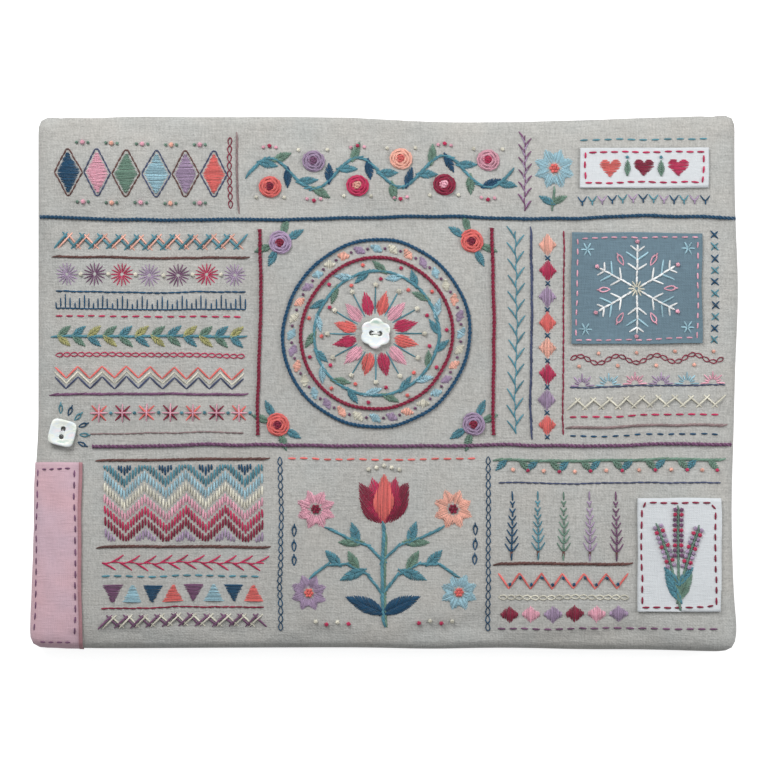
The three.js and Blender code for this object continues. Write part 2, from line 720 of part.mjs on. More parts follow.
const pouch = new THREE.Group();
pouch.add(named("front_panel", makeFrontPanel(), materials.linen));
pouch.add(named("back_panel", makeBackPanel(), materials.linen));
pouch.add(named("front_wadding", makeWadding(frontLayer, 0, seamHeight + 2), materials.wadding));
pouch.add(named("back_wadding", makeWadding(backLayer, seamHeight - 2, topOfFront), materials.wadding));
pouch.add(named("front_lining", makeLining(frontLayer), materials.lining));
pouch.add(named("back_lining", makeLining(backLayer), materials.lining));
pouch.add(named("pink_patch", makePinkPatch(), materials.pinkCotton));
pouch.add(named("blue_patch", hungPatch(bluePatch), materials.blueCotton));
pouch.add(named("white_tall_patch", standingPatch(tallPatch), materials.whiteCotton));
pouch.add(named("white_strip_patch", hungPatch(stripPatch), materials.whiteCotton));
pouch.add(sewnFlower());
pouch.add(sewnSquare());
pouch.add(makeBorders());
pouch.add(makeZip());

export default pouch;
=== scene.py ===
"""Dresses the linen sewing pouch: cloth shells, patches, buttons, zip and hand stitching.

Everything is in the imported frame, in metres: +X along the zip, +Y to the mouth, +Z out of the front.
The needlework is worked out in millimetres on the flat of the front, and becomes metres when it is made.
"""

from __future__ import annotations

import json
import logging
import math
import random
from collections import defaultdict
from dataclasses import dataclass, field
from enum import Enum
from typing import Any, Callable, Iterable, Optional, Sequence

import bmesh
import bpy
from bmesh.types import BMEdge, BMesh, BMVert
from bpy.types import Material, Mesh, Node, NodeSocket, Object
from mathutils import Matrix, Vector, noise
from mathutils.bvhtree import BVHTree

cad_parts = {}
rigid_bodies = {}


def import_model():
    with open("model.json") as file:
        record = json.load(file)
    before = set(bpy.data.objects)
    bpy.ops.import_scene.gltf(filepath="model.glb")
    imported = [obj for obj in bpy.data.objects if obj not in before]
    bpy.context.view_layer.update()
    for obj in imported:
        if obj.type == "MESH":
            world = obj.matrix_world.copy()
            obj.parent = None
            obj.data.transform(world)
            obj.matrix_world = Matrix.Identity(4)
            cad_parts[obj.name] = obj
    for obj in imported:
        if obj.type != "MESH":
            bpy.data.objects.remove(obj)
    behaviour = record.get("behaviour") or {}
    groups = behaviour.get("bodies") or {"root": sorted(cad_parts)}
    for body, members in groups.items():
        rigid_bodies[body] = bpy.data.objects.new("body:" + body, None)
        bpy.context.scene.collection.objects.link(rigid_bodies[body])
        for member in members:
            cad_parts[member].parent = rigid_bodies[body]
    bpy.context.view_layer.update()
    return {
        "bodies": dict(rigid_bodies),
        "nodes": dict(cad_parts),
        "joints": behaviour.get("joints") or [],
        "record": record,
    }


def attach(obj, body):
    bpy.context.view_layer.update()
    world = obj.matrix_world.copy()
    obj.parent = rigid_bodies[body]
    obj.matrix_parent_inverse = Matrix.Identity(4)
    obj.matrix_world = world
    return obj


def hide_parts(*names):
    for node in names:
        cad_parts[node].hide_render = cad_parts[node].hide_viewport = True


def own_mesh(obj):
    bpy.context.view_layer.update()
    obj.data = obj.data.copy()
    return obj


MM = 0.001
TURN = 2 * math.pi
HAND = 11  # fixes the small unevenness of hand work
ROLL = 0.62  # how tightly an edge rolls over: 1 is round, less is fuller
FLOWER_BUTTON = (-3.7, 20.1)  # its middle on the front, in millimetres
SQUARE_BUTTON = (-128.2, -19.4)
BORDER_TOP, BORDER_LOW = 66.0, -24.4  # heights of the level border cords, in millimetres
BORDER_LEFT, BORDER_RIGHT = -50.0, 42.8  # places of the upright ones
Point = tuple[float, float]
Path = list[Point]
Colour = tuple[float, float, float, float]
Mark = tuple[float, float, float, float]  # a place on a path, and the path's direction there
Strand = list[tuple[float, float, float, float]]  # places along a thread, each with its radius

logging.basicConfig(level=logging.INFO, format="%(message)s")
log = logging.getLogger("pouch")


def tint(red: float, green: float, blue: float) -> Colour:
    """Turns a colour as a screen shows it into the shader's linear one.

    Args:
        red: from 0 to 255.
        green: from 0 to 255.
        blue: from 0 to 255.

    Returns:
        The linear colour.
    """

    def linear(value: float) -> float:
        """One channel."""
        share = value / 255
        return share / 12.92 if share <= 0.04045 else ((share + 0.055) / 1.055) ** 2.4

    return (linear(red), linear(green), linear(blue), 1.0)


def shaded(colour: Colour, share: float) -> Colour:
    """A colour made lighter or darker by share."""
    return (colour[0] * share, colour[1] * share, colour[2] * share, 1.0)


# Shaders


class Wire:
    """One output of a shader node, on which maths is written as plain expressions."""

    def __init__(self, graph: Graph, socket: NodeSocket) -> None:
        """Keeps the graph that the socket belongs to."""
        self.graph = graph
        self.socket = socket

    def _math(self, operation: str, first: Any, second: Any = 0.0) -> Wire:
        """Adds a Math node and gives its result."""
        return self.graph.node("ShaderNodeMath", {"operation": operation}, {0: first, 1: second})["Value"]

    def __add__(self, other: Any) -> Wire:
        """Sum."""
        return self._math("ADD", self, other)

    __radd__ = __add__

    def __sub__(self, other: Any) -> Wire:
        """Difference."""
        return self._math("SUBTRACT", self, other)

    def __rsub__(self, other: Any) -> Wire:
        """Difference from a number."""
        return self._math("SUBTRACT", other, self)

    def __mul__(self, other: Any) -> Wire:
        """Product."""
        return self._math("MULTIPLY", self, other)

    __rmul__ = __mul__

    def sine(self) -> Wire:
        """Sine of the value in radians."""
        return self._math("SINE", self)


class Made:
    """A node that has just been made, whose outputs are picked by name or number."""

    def __init__(self, graph: Graph, node: Node) -> None:
        """Keeps the node and its graph."""
        self.graph = graph
        self.node = node

    def __getitem__(self, key: Any) -> Wire:
        """The output with that name or number."""
        return Wire(self.graph, self.node.outputs[key])


class Graph:
    """A material's node tree, with a Principled shader at its end."""

    def __init__(self, name: str) -> None:
        """Starts a material.

        Args:
            name: the material's name.
        """
        self.material = bpy.data.materials.new(name)
        self.material.use_nodes = True
        self.tree = self.material.node_tree
        self.tree.nodes.clear()
        self.place = self.node("ShaderNodeTexCoord")
        self.shader = self.node("ShaderNodeBsdfPrincipled")
        self.end = self.node("ShaderNodeOutputMaterial", {}, {"Surface": self.shader["BSDF"]})

    def node(self, kind: str, settings: Optional[dict[str, Any]] = None,
             sockets: Optional[dict[Any, Any]] = None) -> Made:
        """Adds a node.

        Args:
            kind: the node's type.
            settings: its own settings, set first; "stops" are a ramp's places and colours.
            sockets: values or links for its inputs, by name or number.

        Returns:
            The node.
        """
        node = self.tree.nodes.new(kind)
        for key, value in (settings or {}).items():
            if key == "stops":
                ramp = node.color_ramp.elements
                for index, (at, colour) in enumerate(value):
                    stop = ramp[index] if index < 2 else ramp.new(at)
                    stop.position = at
                    stop.color = colour
            else:
                setattr(node, key, value)
        for key, value in (sockets or {}).items():
            self.feed(node.inputs[key], value)
        return Made(self, node)

    def feed(self, socket: NodeSocket, value: Any) -> None:
        """Links a wire to a socket, or sets the socket's own value.

        Args:
            socket: the input.
            value: a wire, or the value itself.
        """
        if isinstance(value, Wire):
            self.tree.links.new(value.socket, socket)
        else:
            socket.default_value = value

    def dress(self, **sockets: Any) -> Material:
        """Sets the shader's inputs.

        Args:
            sockets: values or wires, by the input's name with _ for each space.

        Returns:
            The finished material.
        """
        for key, value in sockets.items():
            self.feed(self.shader.node.inputs[key.replace("_", " ")], value)
        return self.material

    def mix(self, share: Any, first: Any, second: Any) -> Wire:
        """A colour between two, by share."""
        return self.node("ShaderNodeMix", {"data_type": "RGBA"}, {0: share, 6: first, 7: second})[2]

    def speckle(self, vector: Wire, scale: float, detail: float = 2.0) -> Wire:
        """Noise from 0 to 1 at a scale."""
        return self.node("ShaderNodeTexNoise", {}, {"Vector": vector, "Scale": scale, "Detail": detail})[0]

    def stretched(self, vector: Wire, scale: tuple[float, float, float]) -> Wire:
        """A place scaled unevenly, so that what reads it is drawn out."""
        return self.node("ShaderNodeMapping", {}, {"Vector": vector, "Scale": scale})[0]

    def bump(self, height: Wire, strength: float, distance: float) -> Wire:
        """A normal that is raised by a height."""
        sockets = {"Height": height, "Strength": strength, "Distance": distance}
        return self.node("ShaderNodeBump", {}, sockets)[0]


@dataclass(frozen=True)
class Cloth:
    """Plain-woven cloth with crossing yarns and faint painted shade between them, slubs, a mottled dye and
    a soft nap.

    Attributes:
        name: the material's name.
        colour: its middle tone.
        pitch: from one yarn to the next.
        slub: how uneven its yarns are.
        mottle: how uneven its dye is.
        relief: how strongly the yarns stand out.
        fleck: how strongly single fibres show as specks.
        deep: its darkest yarns, as a share of its tone.
        pale: its lightest yarns, as a share of its tone.
        bloom: a second tone that the dye drifts to in patches, if it has one.
    """

    name: str
    colour: Colour
    pitch: float = 0.00062
    slub: float = 0.5
    mottle: float = 0.35
    relief: float = 0.35
    fleck: float = 0.5
    deep: float = 0.76
    pale: float = 1.22
    bloom: Optional[Colour] = None

    def material(self) -> Material:
        """Weaves the cloth, whose yarns follow the sheet's own lay round its turned edges.

        Returns:
            The material.
        """
        graph = Graph(self.name)
        place = graph.place["Object"]
        axes = graph.node("ShaderNodeSeparateXYZ", {}, {0: graph.place["UV"]})
        wander = (graph.speckle(place, 160.0) - 0.5) * 0.0008
        across = axes["X"] + wander
        along = axes["Y"] + wander
        beat = TURN / (2 * self.pitch)
        weave = (across * beat).sine() * (along * beat).sine()
        flat = graph.node("ShaderNodeCombineXYZ", {}, {0: across, 1: along})["Vector"]
        count, run = 1.0 / self.pitch, 230.0  # yarns to a metre, and how often a yarn's thickness changes
        warp = graph.speckle(graph.stretched(flat, (count, run, 1.0)), 1.0)
        weft = graph.speckle(graph.stretched(flat, (run, count, 1.0)), 1.0)
        thick = graph.speckle(graph.stretched(flat, (45.0, 900.0, 1.0)), 1.0)
        cloud = graph.speckle(place, 38.0, 3.0)
        grain = graph.speckle(place, 1500.0, 2.0)
        yarn = (warp - 0.5) + (weft - 0.5)
        uneven = yarn * 1.5 + (thick - 0.5) * 0.8 + (grain - 0.5) * self.fleck
        # the weave term is faint painted shade between the crossing yarns; slubs, flecks and mottle are the
        # cloth's own tone
        tone = 0.5 + uneven * self.slub + weave * 0.03 + (cloud - 0.5) * (1.5 * self.mottle)
        colour = graph.mix(tone, shaded(self.colour, self.deep), shaded(self.colour, self.pale))
        if self.bloom:
            drift = graph.speckle(place, 55.0, 2.0) * 2.4 - 0.7
            other = graph.mix(tone, shaded(self.bloom, self.deep), shaded(self.bloom, self.pale))
            colour = graph.mix(drift, colour, other)
        relief = graph.bump(weave * 0.12 + yarn * 1.2 + thick + grain * self.fleck, self.relief, 0.0004)
        return graph.dress(
            Base_Color=colour, Roughness=0.93, Specular_IOR_Level=0.18, Sheen_Weight=0.12,
            Sheen_Roughness=0.6, Normal=relief,
        )


@dataclass(frozen=True)
class Wool:
    """Loose wadding: a cloudy mat of fibres.

    Attributes:
        name: the material's name.
        colour: its middle tone.
    """

    name: str
    colour: Colour

    def material(self) -> Material:
        """Mats the wadding.

        Returns:
            The material.
        """
        graph = Graph(self.name)
        fluff = graph.speckle(graph.place["Object"], 420.0, 5.0)
        colour = graph.mix(fluff, shaded(self.colour, 0.82), self.colour)
        return graph.dress(Base_Color=colour, Roughness=1.0, Normal=graph.bump(fluff, 0.6, 0.0008))


@dataclass(frozen=True)
class Pearl:
    """Polished shell: pale, with faint green and rose clouds under a clear surface.

    Attributes:
        name: the material's name.
    """

    name: str

    def material(self) -> Material:
        """Polishes the shell.

        Returns:
            The material.
        """
        graph = Graph(self.name)
        place = graph.stretched(graph.place["Object"], (1.0, 2.2, 1.0))
        cloud = graph.speckle(place, 210.0, 3.0)
        stops = [
            (0.28, tint(180, 206, 195)),
            (0.44, tint(241, 243, 234)),
            (0.56, tint(225, 235, 240)),
            (0.72, tint(246, 230, 232)),
        ]
        colour = graph.node("ShaderNodeValToRGB", {"stops": stops}, {"Fac": cloud})["Color"]
        grain = graph.speckle(place, 900.0)
        return graph.dress(
            Base_Color=colour, Roughness=0.16 + cloud * 0.16, Coat_Weight=0.6, Coat_Roughness=0.08,
            Normal=graph.bump(grain, 0.08, 0.0002),
        )


@dataclass(frozen=True)
class Metal:
    """Plated metal with rubbed patches and fine scratches.

    Attributes:
        name: the material's name.
        colour: the plating's tone.
    """

    name: str
    colour: Colour

    def material(self) -> Material:
        """Plates the metal.

        Returns:
            The material.
        """
        graph = Graph(self.name)
        place = graph.place["Object"]
        rub = graph.speckle(place, 260.0, 4.0)
        scratch = graph.speckle(graph.stretched(place, (300.0, 5200.0, 5200.0)), 1.0)
        colour = graph.mix(rub, shaded(self.colour, 0.72), shaded(self.colour, 1.15))
        return graph.dress(
            Base_Color=colour, Metallic=1.0, Roughness=0.2 + rub * 0.22 + scratch * 0.08,
            Normal=graph.bump(scratch, 0.06, 0.0001),
        )


@dataclass(frozen=True)
class Moulded:
    """Moulded plastic with a satin skin.

    Attributes:
        name: the material's name.
        colour: its tone.
    """

    name: str
    colour: Colour

    def material(self) -> Material:
        """Moulds the plastic's skin.

        Returns:
            The material.
        """
        graph = Graph(self.name)
        place = graph.place["Object"]
        cloud = graph.speckle(place, 300.0, 3.0)
        colour = graph.mix(cloud, shaded(self.colour, 0.85), shaded(self.colour, 1.1))
        return graph.dress(
            Base_Color=colour, Roughness=0.34 + cloud * 0.16,
            Normal=graph.bump(graph.speckle(place, 2400.0), 0.05, 0.0001),
        )


class Floss(Enum):
    """Stranded cotton, by the colour of its skein."""

    PETROL = (9, 71, 105)
    NAVY = (63, 73, 105)
    BURGUNDY = (135, 20, 56)
    RASPBERRY = (188, 41, 86)
    CORAL = (229, 110, 105)
    PEACH = (244, 182, 163)
    PINK = (231, 169, 186)
    LILAC = (169, 146, 176)
    PLUM = (118, 76, 110)
    SAGE = (107, 139, 122)
    OLIVE = (171, 169, 112)
    TEAL = (80, 137, 152)
    SKY = (159, 197, 210)
    CREAM = (220, 216, 199)
    BROWN = (99, 63, 58)
    TAUPE = (142, 120, 120)
    WHITE = (238, 239, 238)

    def material(self) -> Material:
        """Spins the skein once: twisted strands with painted shade in the grooves between their plies, and
        a soft lustre.

        Returns:
            The material.
        """
        name = f"floss_{self.name.lower()}"
        if name in bpy.data.materials:
            return bpy.data.materials[name]
        graph = Graph(name)
        colour = tint(*self.value)
        axes = graph.node("ShaderNodeSeparateXYZ", {}, {0: graph.place["UV"]})
        twist = (axes["X"] * TURN + axes["Y"] * (7 * TURN)).sine()
        fibre = graph.speckle(graph.place["Object"], 1700.0, 3.0)
        strand = graph.node("ShaderNodeAttribute", {"attribute_name": "tone"})["Fac"]
        # painted shade: the twist darkens the grooves between the plies, where the bump sinks
        tone = twist * 0.22 + (fibre - 0.5) * 0.9 + strand
        shade = graph.mix(tone, shaded(colour, 0.58), shaded(colour, 1.3))
        return graph.dress(
            Base_Color=shade, Roughness=0.62, Specular_IOR_Level=0.35, Sheen_Weight=0.25,
            Sheen_Roughness=0.45, Normal=graph.bump(twist * 0.6 + fibre, 0.45, 0.0002),
        )


# Meshes


def placed(name: str, data: Any) -> Object:
    """Puts a mesh, thread, lamp or camera in the scene.

    Args:
        name: its name.
        data: what it is.

    Returns:
        Its object.
    """
    thing = bpy.data.objects.new(name, data)
    bpy.context.scene.collection.objects.link(thing)
    return thing


def made_object(name: str, mesh: Mesh, *materials: Material) -> Object:
    """Puts a mesh in the scene, smooth, with its materials.

    Args:
        name: the piece's name.
        mesh: its mesh, in place.
        materials: its materials, in slot order.

    Returns:
        The piece.
    """
    mesh.name = name
    for material in materials:
        mesh.materials.append(material)
    for face in mesh.polygons:
        face.use_smooth = True
    return placed(name, mesh)


def mesh_of(shape: BMesh) -> Mesh:
    """Turns a bmesh into a mesh and frees it.

    Args:
        shape: the bmesh.

    Returns:
        The mesh.
    """
    mesh = bpy.data.meshes.new("mesh")
    shape.to_mesh(mesh)
    shape.free()
    return mesh


def put_in_order(shape: BMesh, place: Callable[[BMVert], Sequence[float]]) -> None:
    """Numbers a mesh's parts by where they lie, because the tools that made it give no fixed order.

    Args:
        shape: the mesh.
        place: gives a place that only one point has.
    """

    def corners(part: Any) -> list[int]:
        """The numbers of an edge's or a face's points."""
        return sorted(vertex.index for vertex in part.verts)

    for parts, key in ((shape.verts, place), (shape.edges, corners), (shape.faces, corners)):
        rank = {part: i for i, part in enumerate(sorted(parts, key=key))}
        parts.sort(key=rank.get)
        parts.index_update()


def spread(shape: BMesh, place: Callable[[BMVert], Point]) -> None:
    """Spreads a cloth flat: keeps where each point lies on the uncut cloth, for its weave.

    Args:
        shape: the cloth.
        place: gives a point's place on the uncut cloth.
    """
    lay = shape.loops.layers.uv.new("UVMap")
    for face in shape.faces:
        for loop in face.loops:
            loop[lay].uv = place(loop.vert)


def baked(piece: Object) -> None:
    """Applies a piece's modifiers to its mesh.

    Args:
        piece: the piece.
    """
    graph = bpy.context.evaluated_depsgraph_get()
    mesh = bpy.data.meshes.new_from_object(piece.evaluated_get(graph))
    piece.modifiers.clear()
    piece.data = mesh


def thicken(piece: Object, thickness: float) -> None:
    """Gives a sheet its thickness on its inner side.

    Args:
        piece: the sheet.
        thickness: how thick it becomes.
    """
    solidify = piece.modifiers.new("thickness", "SOLIDIFY")
    solidify.thickness = thickness
    solidify.offset = -1.0
    solidify.use_even_offset = False


def settle(piece: Object, pressure: float, ease: float, frames: int, cap: float) -> None:
    """Lets cloth swell under the wadding behind it, held at its vertex group "sewn".

    Args:
        piece: the cloth, whose shape changes.
        pressure: the push of the wadding.
        ease: how much longer the cloth is than the shape it starts from.
        frames: how many steps it is given.
        cap: the limit that a point's move fades towards.
    """
    taken_back = 0.85  # share of an inward move that the wadding doesn't allow
    cloth = piece.modifiers.new("cloth", "CLOTH")
    weave = cloth.settings
    weave.quality = 6
    weave.mass = 0.12
    weave.tension_stiffness = 12
    weave.compression_stiffness = 12
    weave.bending_stiffness = 0.4
    weave.use_pressure = True
    weave.uniform_pressure_force = pressure
    weave.shrink_min = -ease
    weave.vertex_group_mass = "sewn"
    weave.effector_weights.gravity = 0.0
    cloth.point_cache.frame_end = frames
    scene = bpy.context.scene
    for frame in range(1, frames + 1):
        scene.frame_set(frame)
    graph = bpy.context.evaluated_depsgraph_get()
    swollen = [v.co.copy() for v in piece.evaluated_get(graph).data.vertices]
    outward = [v.normal.copy() for v in piece.data.vertices]
    piece.modifiers.clear()
    scene.frame_set(1)
    for vertex, place, away in zip(piece.data.vertices, swollen, outward):
        move = place - vertex.co
        lift = move.dot(away)
        if lift < 0:
            move -= away * (taken_back * lift)
        far = move.length
        if far > 0:
            move *= cap * (1 - math.exp(-far / cap)) / far
        vertex.co += move


# The pouch's form


def swell(place: float, middle: float, reach: float) -> float:
    """A smooth bump of height 1 about a middle."""
    return math.exp(-(((place - middle) / reach) ** 2))


def full(share: float) -> float:
    """A sine or cosine made fuller, so that an edge rolls over more tightly."""
    return max(0.0, share) ** ROLL


@dataclass(frozen=True)
class Form:
    """The pouch's sizes, in metres.

    Attributes:
        width: along the zip.
        height: from the bottom edge to the mouth.
        rim: width over which an edge rolls from the flat to the seam.
        rim_top: height of the front where its rim begins.
        crown: how far the middle of the front stands above its rim.
        seam: height of the side seams.
        gap: clearance at a seam.
        mouth: height of the gap between the hems.
        mouth_end: from the middle to an end of the mouth.
        corners: how full each corner is: lower left, lower right, upper left, upper right.
    """

    width: float = 0.280
    height: float = 0.212
    rim: float = 0.006
    rim_top: float = 0.0162
    crown: float = 0.0014
    seam: float = 0.0081
    gap: float = 0.0003
    mouth: float = 0.0086
    mouth_end: float = 0.132
    corners: tuple[float, float, float, float] = (1.3, 1.28, 1.42, 1.48)

    def drift(self, x: float, y: float) -> Vector:
        """How far a hand-sewn outline strays from a true rectangle, at a place on the front.

        Args:
            x: place along the zip.
            y: place up the pouch.

        Returns:
            The move in the plane of the front.
        """
        side = x / (self.width / 2)
        up = y / (self.height / 2)
        # how far each edge lies to the right of its true line, or above it, in millimetres
        fall = min(1.0, max(0.0, (-up - 0.12) / 0.33))
        left = 1.5 - 1.6 * fall * fall * (3 - 2 * fall) - 4.0 * max(0.0, -up - 0.55)
        right = -0.35 + 1.4 * swell(up, 0.35, 0.25) - 1.1 * swell(up, -0.48, 0.28)
        right += 0.9 * swell(up, -0.92, 0.1)
        top = 0.9 - 2.2 * swell(side, 0.24, 0.3) - 0.7 * swell(side, -0.84, 0.07)
        top -= 0.5 * swell(side, -1.0, 0.05)
        top -= 0.65 * swell(side, 0.58, 0.2) - 0.5 * swell(side, 0.96, 0.07)
        low = 0.7 * (1 - side * side) - 1.0 * swell(side, 1.0, 0.25) + 0.8 * swell(side, -1.0, 0.14)
        low -= 0.5 * swell(side, 0.13, 0.13) + 0.45 * swell(side, 0.57, 0.14)
        across = left * max(0.0, -side) ** 3 + right * max(0.0, side) ** 3
        upward = top * max(0.0, up) ** 3 + low * max(0.0, -up) ** 3
        return Vector((across * MM, upward * MM, 0.0))


class Half(Enum):
    """A half of the pouch."""

    FRONT = "front"
    BACK = "back"

    @property
    def sign(self) -> int:
        """1 for the front, which lies uppermost, and -1 for the back."""
        return 1 if self is Half.FRONT else -1


@dataclass
class Shell:
    """One layer of one half of the pouch: a sheet whose edges roll over to the side seams.

    Attributes:
        name: the piece's name.
        node: the solid that it stands for.
        form: the pouch's sizes.
        finish: its material.
        half: the half that it belongs to.
        inside: how far it lies inside the outer surface.
        thickness: its cloth's thickness.
        step: spacing of its mesh.
        hem: whether its edge is turned in along the mouth.
        seam_stop: how far round the rim it runs, from 0 at the flat to 1 at the seam.
        push: the wadding's push on it, or 0 to leave it as cut.
        ease: how much longer its cloth is than its form.
        rings: rows of its mesh round the rim.
        crowding: how much closer its mesh lies towards its edges.
        turning: share of the rim's section that rolls over, before the hem's turned edge.
        mouth_ease: length over which a side seam opens into the mouth.
        lip: how far a layer without a hem stands out at the mouth.
        hem_clear: clearance of a hem from the mouth.
        hem_run: how far in a hem is turned, as a share of the rim.
        hem_back: how far a hem's fold is drawn back.
        frames: steps that its swelling is given.
        give: the limit of its swelling.
        piece: the finished piece.
        flat: the length and width of its cloth, measured along the cloth.
        area: its cloth's area.
    """

    name: str
    node: str
    form: Form
    finish: Material
    half: Half
    inside: float
    thickness: float
    step: float
    hem: bool = False
    seam_stop: float = 1.0
    push: float = 0.0
    ease: float = 0.0
    rings: int = 7
    crowding: float = 0.3
    turning: float = 0.6
    mouth_ease: float = 0.006
    lip: float = 0.0003
    hem_clear: float = 0.00005
    hem_run: float = 0.9
    hem_back: float = 0.0002
    frames: int = 16
    give: float = 0.0018
    piece: Object = field(init=False)
    flat: Point = field(init=False)
    area: float = field(init=False)

    @property
    def front(self) -> bool:
        """Whether it is in the front half."""
        return self.half is Half.FRONT

    def flat_height(self, x: float, y: float) -> float:
        """Height of the flat over a place, with the crown of the front.

        Args:
            x: place along the zip.
            y: place up the pouch.

        Returns:
            The height.
        """
        if not self.front:
            return self.inside
        form = self.form
        u = min(1.0, abs(x) / (form.width / 2 - form.rim))
        v = min(1.0, abs(y) / (form.height / 2 - form.rim))
        rise = (1 - u ** 4) * (1 - v ** 3)
        return form.rim_top - self.inside + form.crown * rise

    def edge(self, share: float, opened: float) -> tuple[float, float]:
        """A point of the rim's section.

        Args:
            share: how far along the section, from 0 at the flat to 1 at its end.
            opened: 1 along the mouth, 0 at the other edges.

        Returns:
            How far out from the flat it lies, and its height.
        """
        form = self.form
        reach = form.rim - self.inside
        top = form.rim_top - self.inside if self.front else self.inside
        foot = form.seam + self.half.sign * form.gap / 2
        angle = (1 - share * self.seam_stop) * math.pi / 2
        closed = (reach * full(math.cos(angle)), foot + (top - foot) * full(math.sin(angle)))
        if opened <= 0:
            return closed
        if not self.hem:
            lip = (share * self.lip, top)
        else:
            sign = self.half.sign
            inner = form.seam + sign * (form.mouth / 2 + self.hem_clear)
            fold = inner + sign * self.thickness
            if share < self.turning:
                turn = (1 - share / self.turning) * math.pi / 2
                lip = (reach * full(math.cos(turn)), fold + (top - fold) * full(math.sin(turn)))
            else:
                run = (share - self.turning) / (1 - self.turning)
                lip = (reach * (1 - self.hem_run * run) - self.hem_back, inner)
        return (
            closed[0] + (lip[0] - closed[0]) * opened,
            closed[1] + (lip[1] - closed[1]) * opened,
        )

    def opening(self, x: float, y: float) -> float:
        """How far a place on the outline belongs to the mouth.

        Args:
            x: place along the zip.
            y: place up the pouch.

        Returns:
            From 0, at a closed edge, to 1.
        """
        if y < self.form.height / 2 - 2 * self.form.rim:
            return 0.0
        near = (self.form.mouth_end - abs(x)) / self.mouth_ease
        return min(1.0, max(0.0, near))

    def sheet(self) -> BMesh:
        """Cuts the layer as a sheet: a grid with crowded edges, whose border is drawn out round the rim.

        Returns:
            The sheet.
        """
        form = self.form
        crowd = self.crowding
        at_border = 0.999  # a place past this share of the grid lies on its border
        half = Vector((form.width / 2 - form.rim, form.height / 2 - form.rim))
        shape = bmesh.new()
        columns, rows = round(2 * half.x / self.step), round(2 * half.y / self.step)
        bmesh.ops.create_grid(shape, x_segments=columns, y_segments=rows, size=1.0)
        names = ("base_x", "base_y", "out_x", "out_y", "lay_x", "lay_y")
        layers = [shape.verts.layers.float.new(name) for name in names]
        lay_x, lay_y = layers[4:]
        for vertex in shape.verts:
            s, t = vertex.co.x, vertex.co.y
            x = half.x * ((1 + crowd) * s - crowd * s ** 3)
            y = half.y * ((1 + crowd) * t - crowd * t ** 3)
            if vertex.is_boundary:
                out = Vector([round(at, 4) if abs(at) > at_border else 0.0 for at in (s, t)])
                corner = form.corners[(s > 0) + 2 * (t > 0)] if all(out) else 1.0
                for layer, value in zip(layers, (x, y, *(out.normalized() * corner))):
                    vertex[layer] = value
            vertex[lay_x], vertex[lay_y] = x, y
            vertex.co = Vector((x, y, self.flat_height(x, y))) + form.drift(x, y)
        for ring in range(1, self.rings + 1):
            border = [edge for edge in shape.edges if edge.is_boundary]
            made = bmesh.ops.extrude_edge_only(shape, edges=border)
            for vertex in (item for item in made["geom"] if isinstance(item, BMVert)):
                x, y, out_x, out_y = (vertex[layer] for layer in layers[:4])
                before = vertex.co.copy()
                out, height = self.edge(ring / self.rings, self.opening(x, y))
                place = Vector((x + out_x * out, y + out_y * out, height))
                vertex.co = place + form.drift(place.x, place.y)
                length = (vertex.co - before).length
                vertex[lay_x] += out_x * length
                vertex[lay_y] += out_y * length
        put_in_order(shape, lambda vertex: (vertex[lay_x], vertex[lay_y]))
        spread(shape, lambda vertex: (vertex[lay_x], vertex[lay_y]))
        bmesh.ops.recalc_face_normals(shape, faces=shape.faces)
        outward = sum(face.normal.z * face.calc_area() for face in shape.faces)
        if (outward > 0) != self.front:
            bmesh.ops.reverse_faces(shape, faces=shape.faces)
        return shape

    def build(self) -> None:
        """Makes the layer and dresses it."""
        self.piece = made_object(self.name, mesh_of(self.sheet()), self.finish)
        if self.push:
            self.sew_down()
            settle(self.piece, self.push, self.ease, self.frames, self.give)
        smooth = self.piece.modifiers.new("round", "SUBSURF")
        smooth.levels = smooth.render_levels = 1
        baked(self.piece)
        mesh = self.piece.data
        self.area = sum(face.area for face in mesh.polygons)
        along, up = zip(*(corner.uv for corner in mesh.uv_layers.active.data))
        self.flat = (max(along) - min(along), max(up) - min(up))

    def sew_down(self) -> None:
        """Holds the seam, the hem and, more loosely, the border lines of the needlework."""
        sewn = self.piece.vertex_groups.new(name="sewn")
        short_of_top = 0.0035  # how far below the top of the rim the held cloth stops
        free_above = self.form.rim_top - self.inside - short_of_top
        cord_hold, cord_reach = 0.16, 0.004
        for vertex in self.piece.data.vertices:
            x, y, z = vertex.co
            held = 1.0 if z < free_above else 0.0
            if not held:
                levels = [abs(y - line * MM) for line in (BORDER_TOP, BORDER_LOW)]
                uprights = [abs(x - line * MM) for line in (BORDER_LEFT, BORDER_RIGHT)]
                held = cord_hold * math.exp(-((min(levels + uprights) / cord_reach) ** 2))
            sewn.add([vertex.index], held, "REPLACE")

    def finish_off(self, rests_on: Optional[str]) -> None:
        """Gives the sheet its thickness, fixes it to the pouch's body and hides the solid that it stands
        for.

        Args:
            rests_on: the layer that it is drawn over, or None for the wadding; not used.
        """
        thicken(self.piece, self.thickness)
        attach(self.piece, "pouch")
        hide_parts(self.node)


class Ground:
    """The cloth that the needle works on: the front and what is sewn on it."""

    BESIDE = 15.0  # the height given to a place beside the cloth, in millimetres

    def __init__(self, *pieces: Object) -> None:
        """Keeps the pieces' surfaces for measuring.

        Args:
            pieces: the cloths.
        """
        shape = bmesh.new()
        for piece in pieces:
            shape.from_mesh(piece.data)
        self.tree = BVHTree.FromBMesh(shape)
        shape.free()

    def height(self, x: float, y: float) -> float:
        """Height of the cloth over a place, all in millimetres."""
        hit = self.tree.ray_cast(Vector((x * MM, y * MM, 0.1)), Vector((0, 0, -1)))[0]
        return hit.z / MM if hit else self.BESIDE


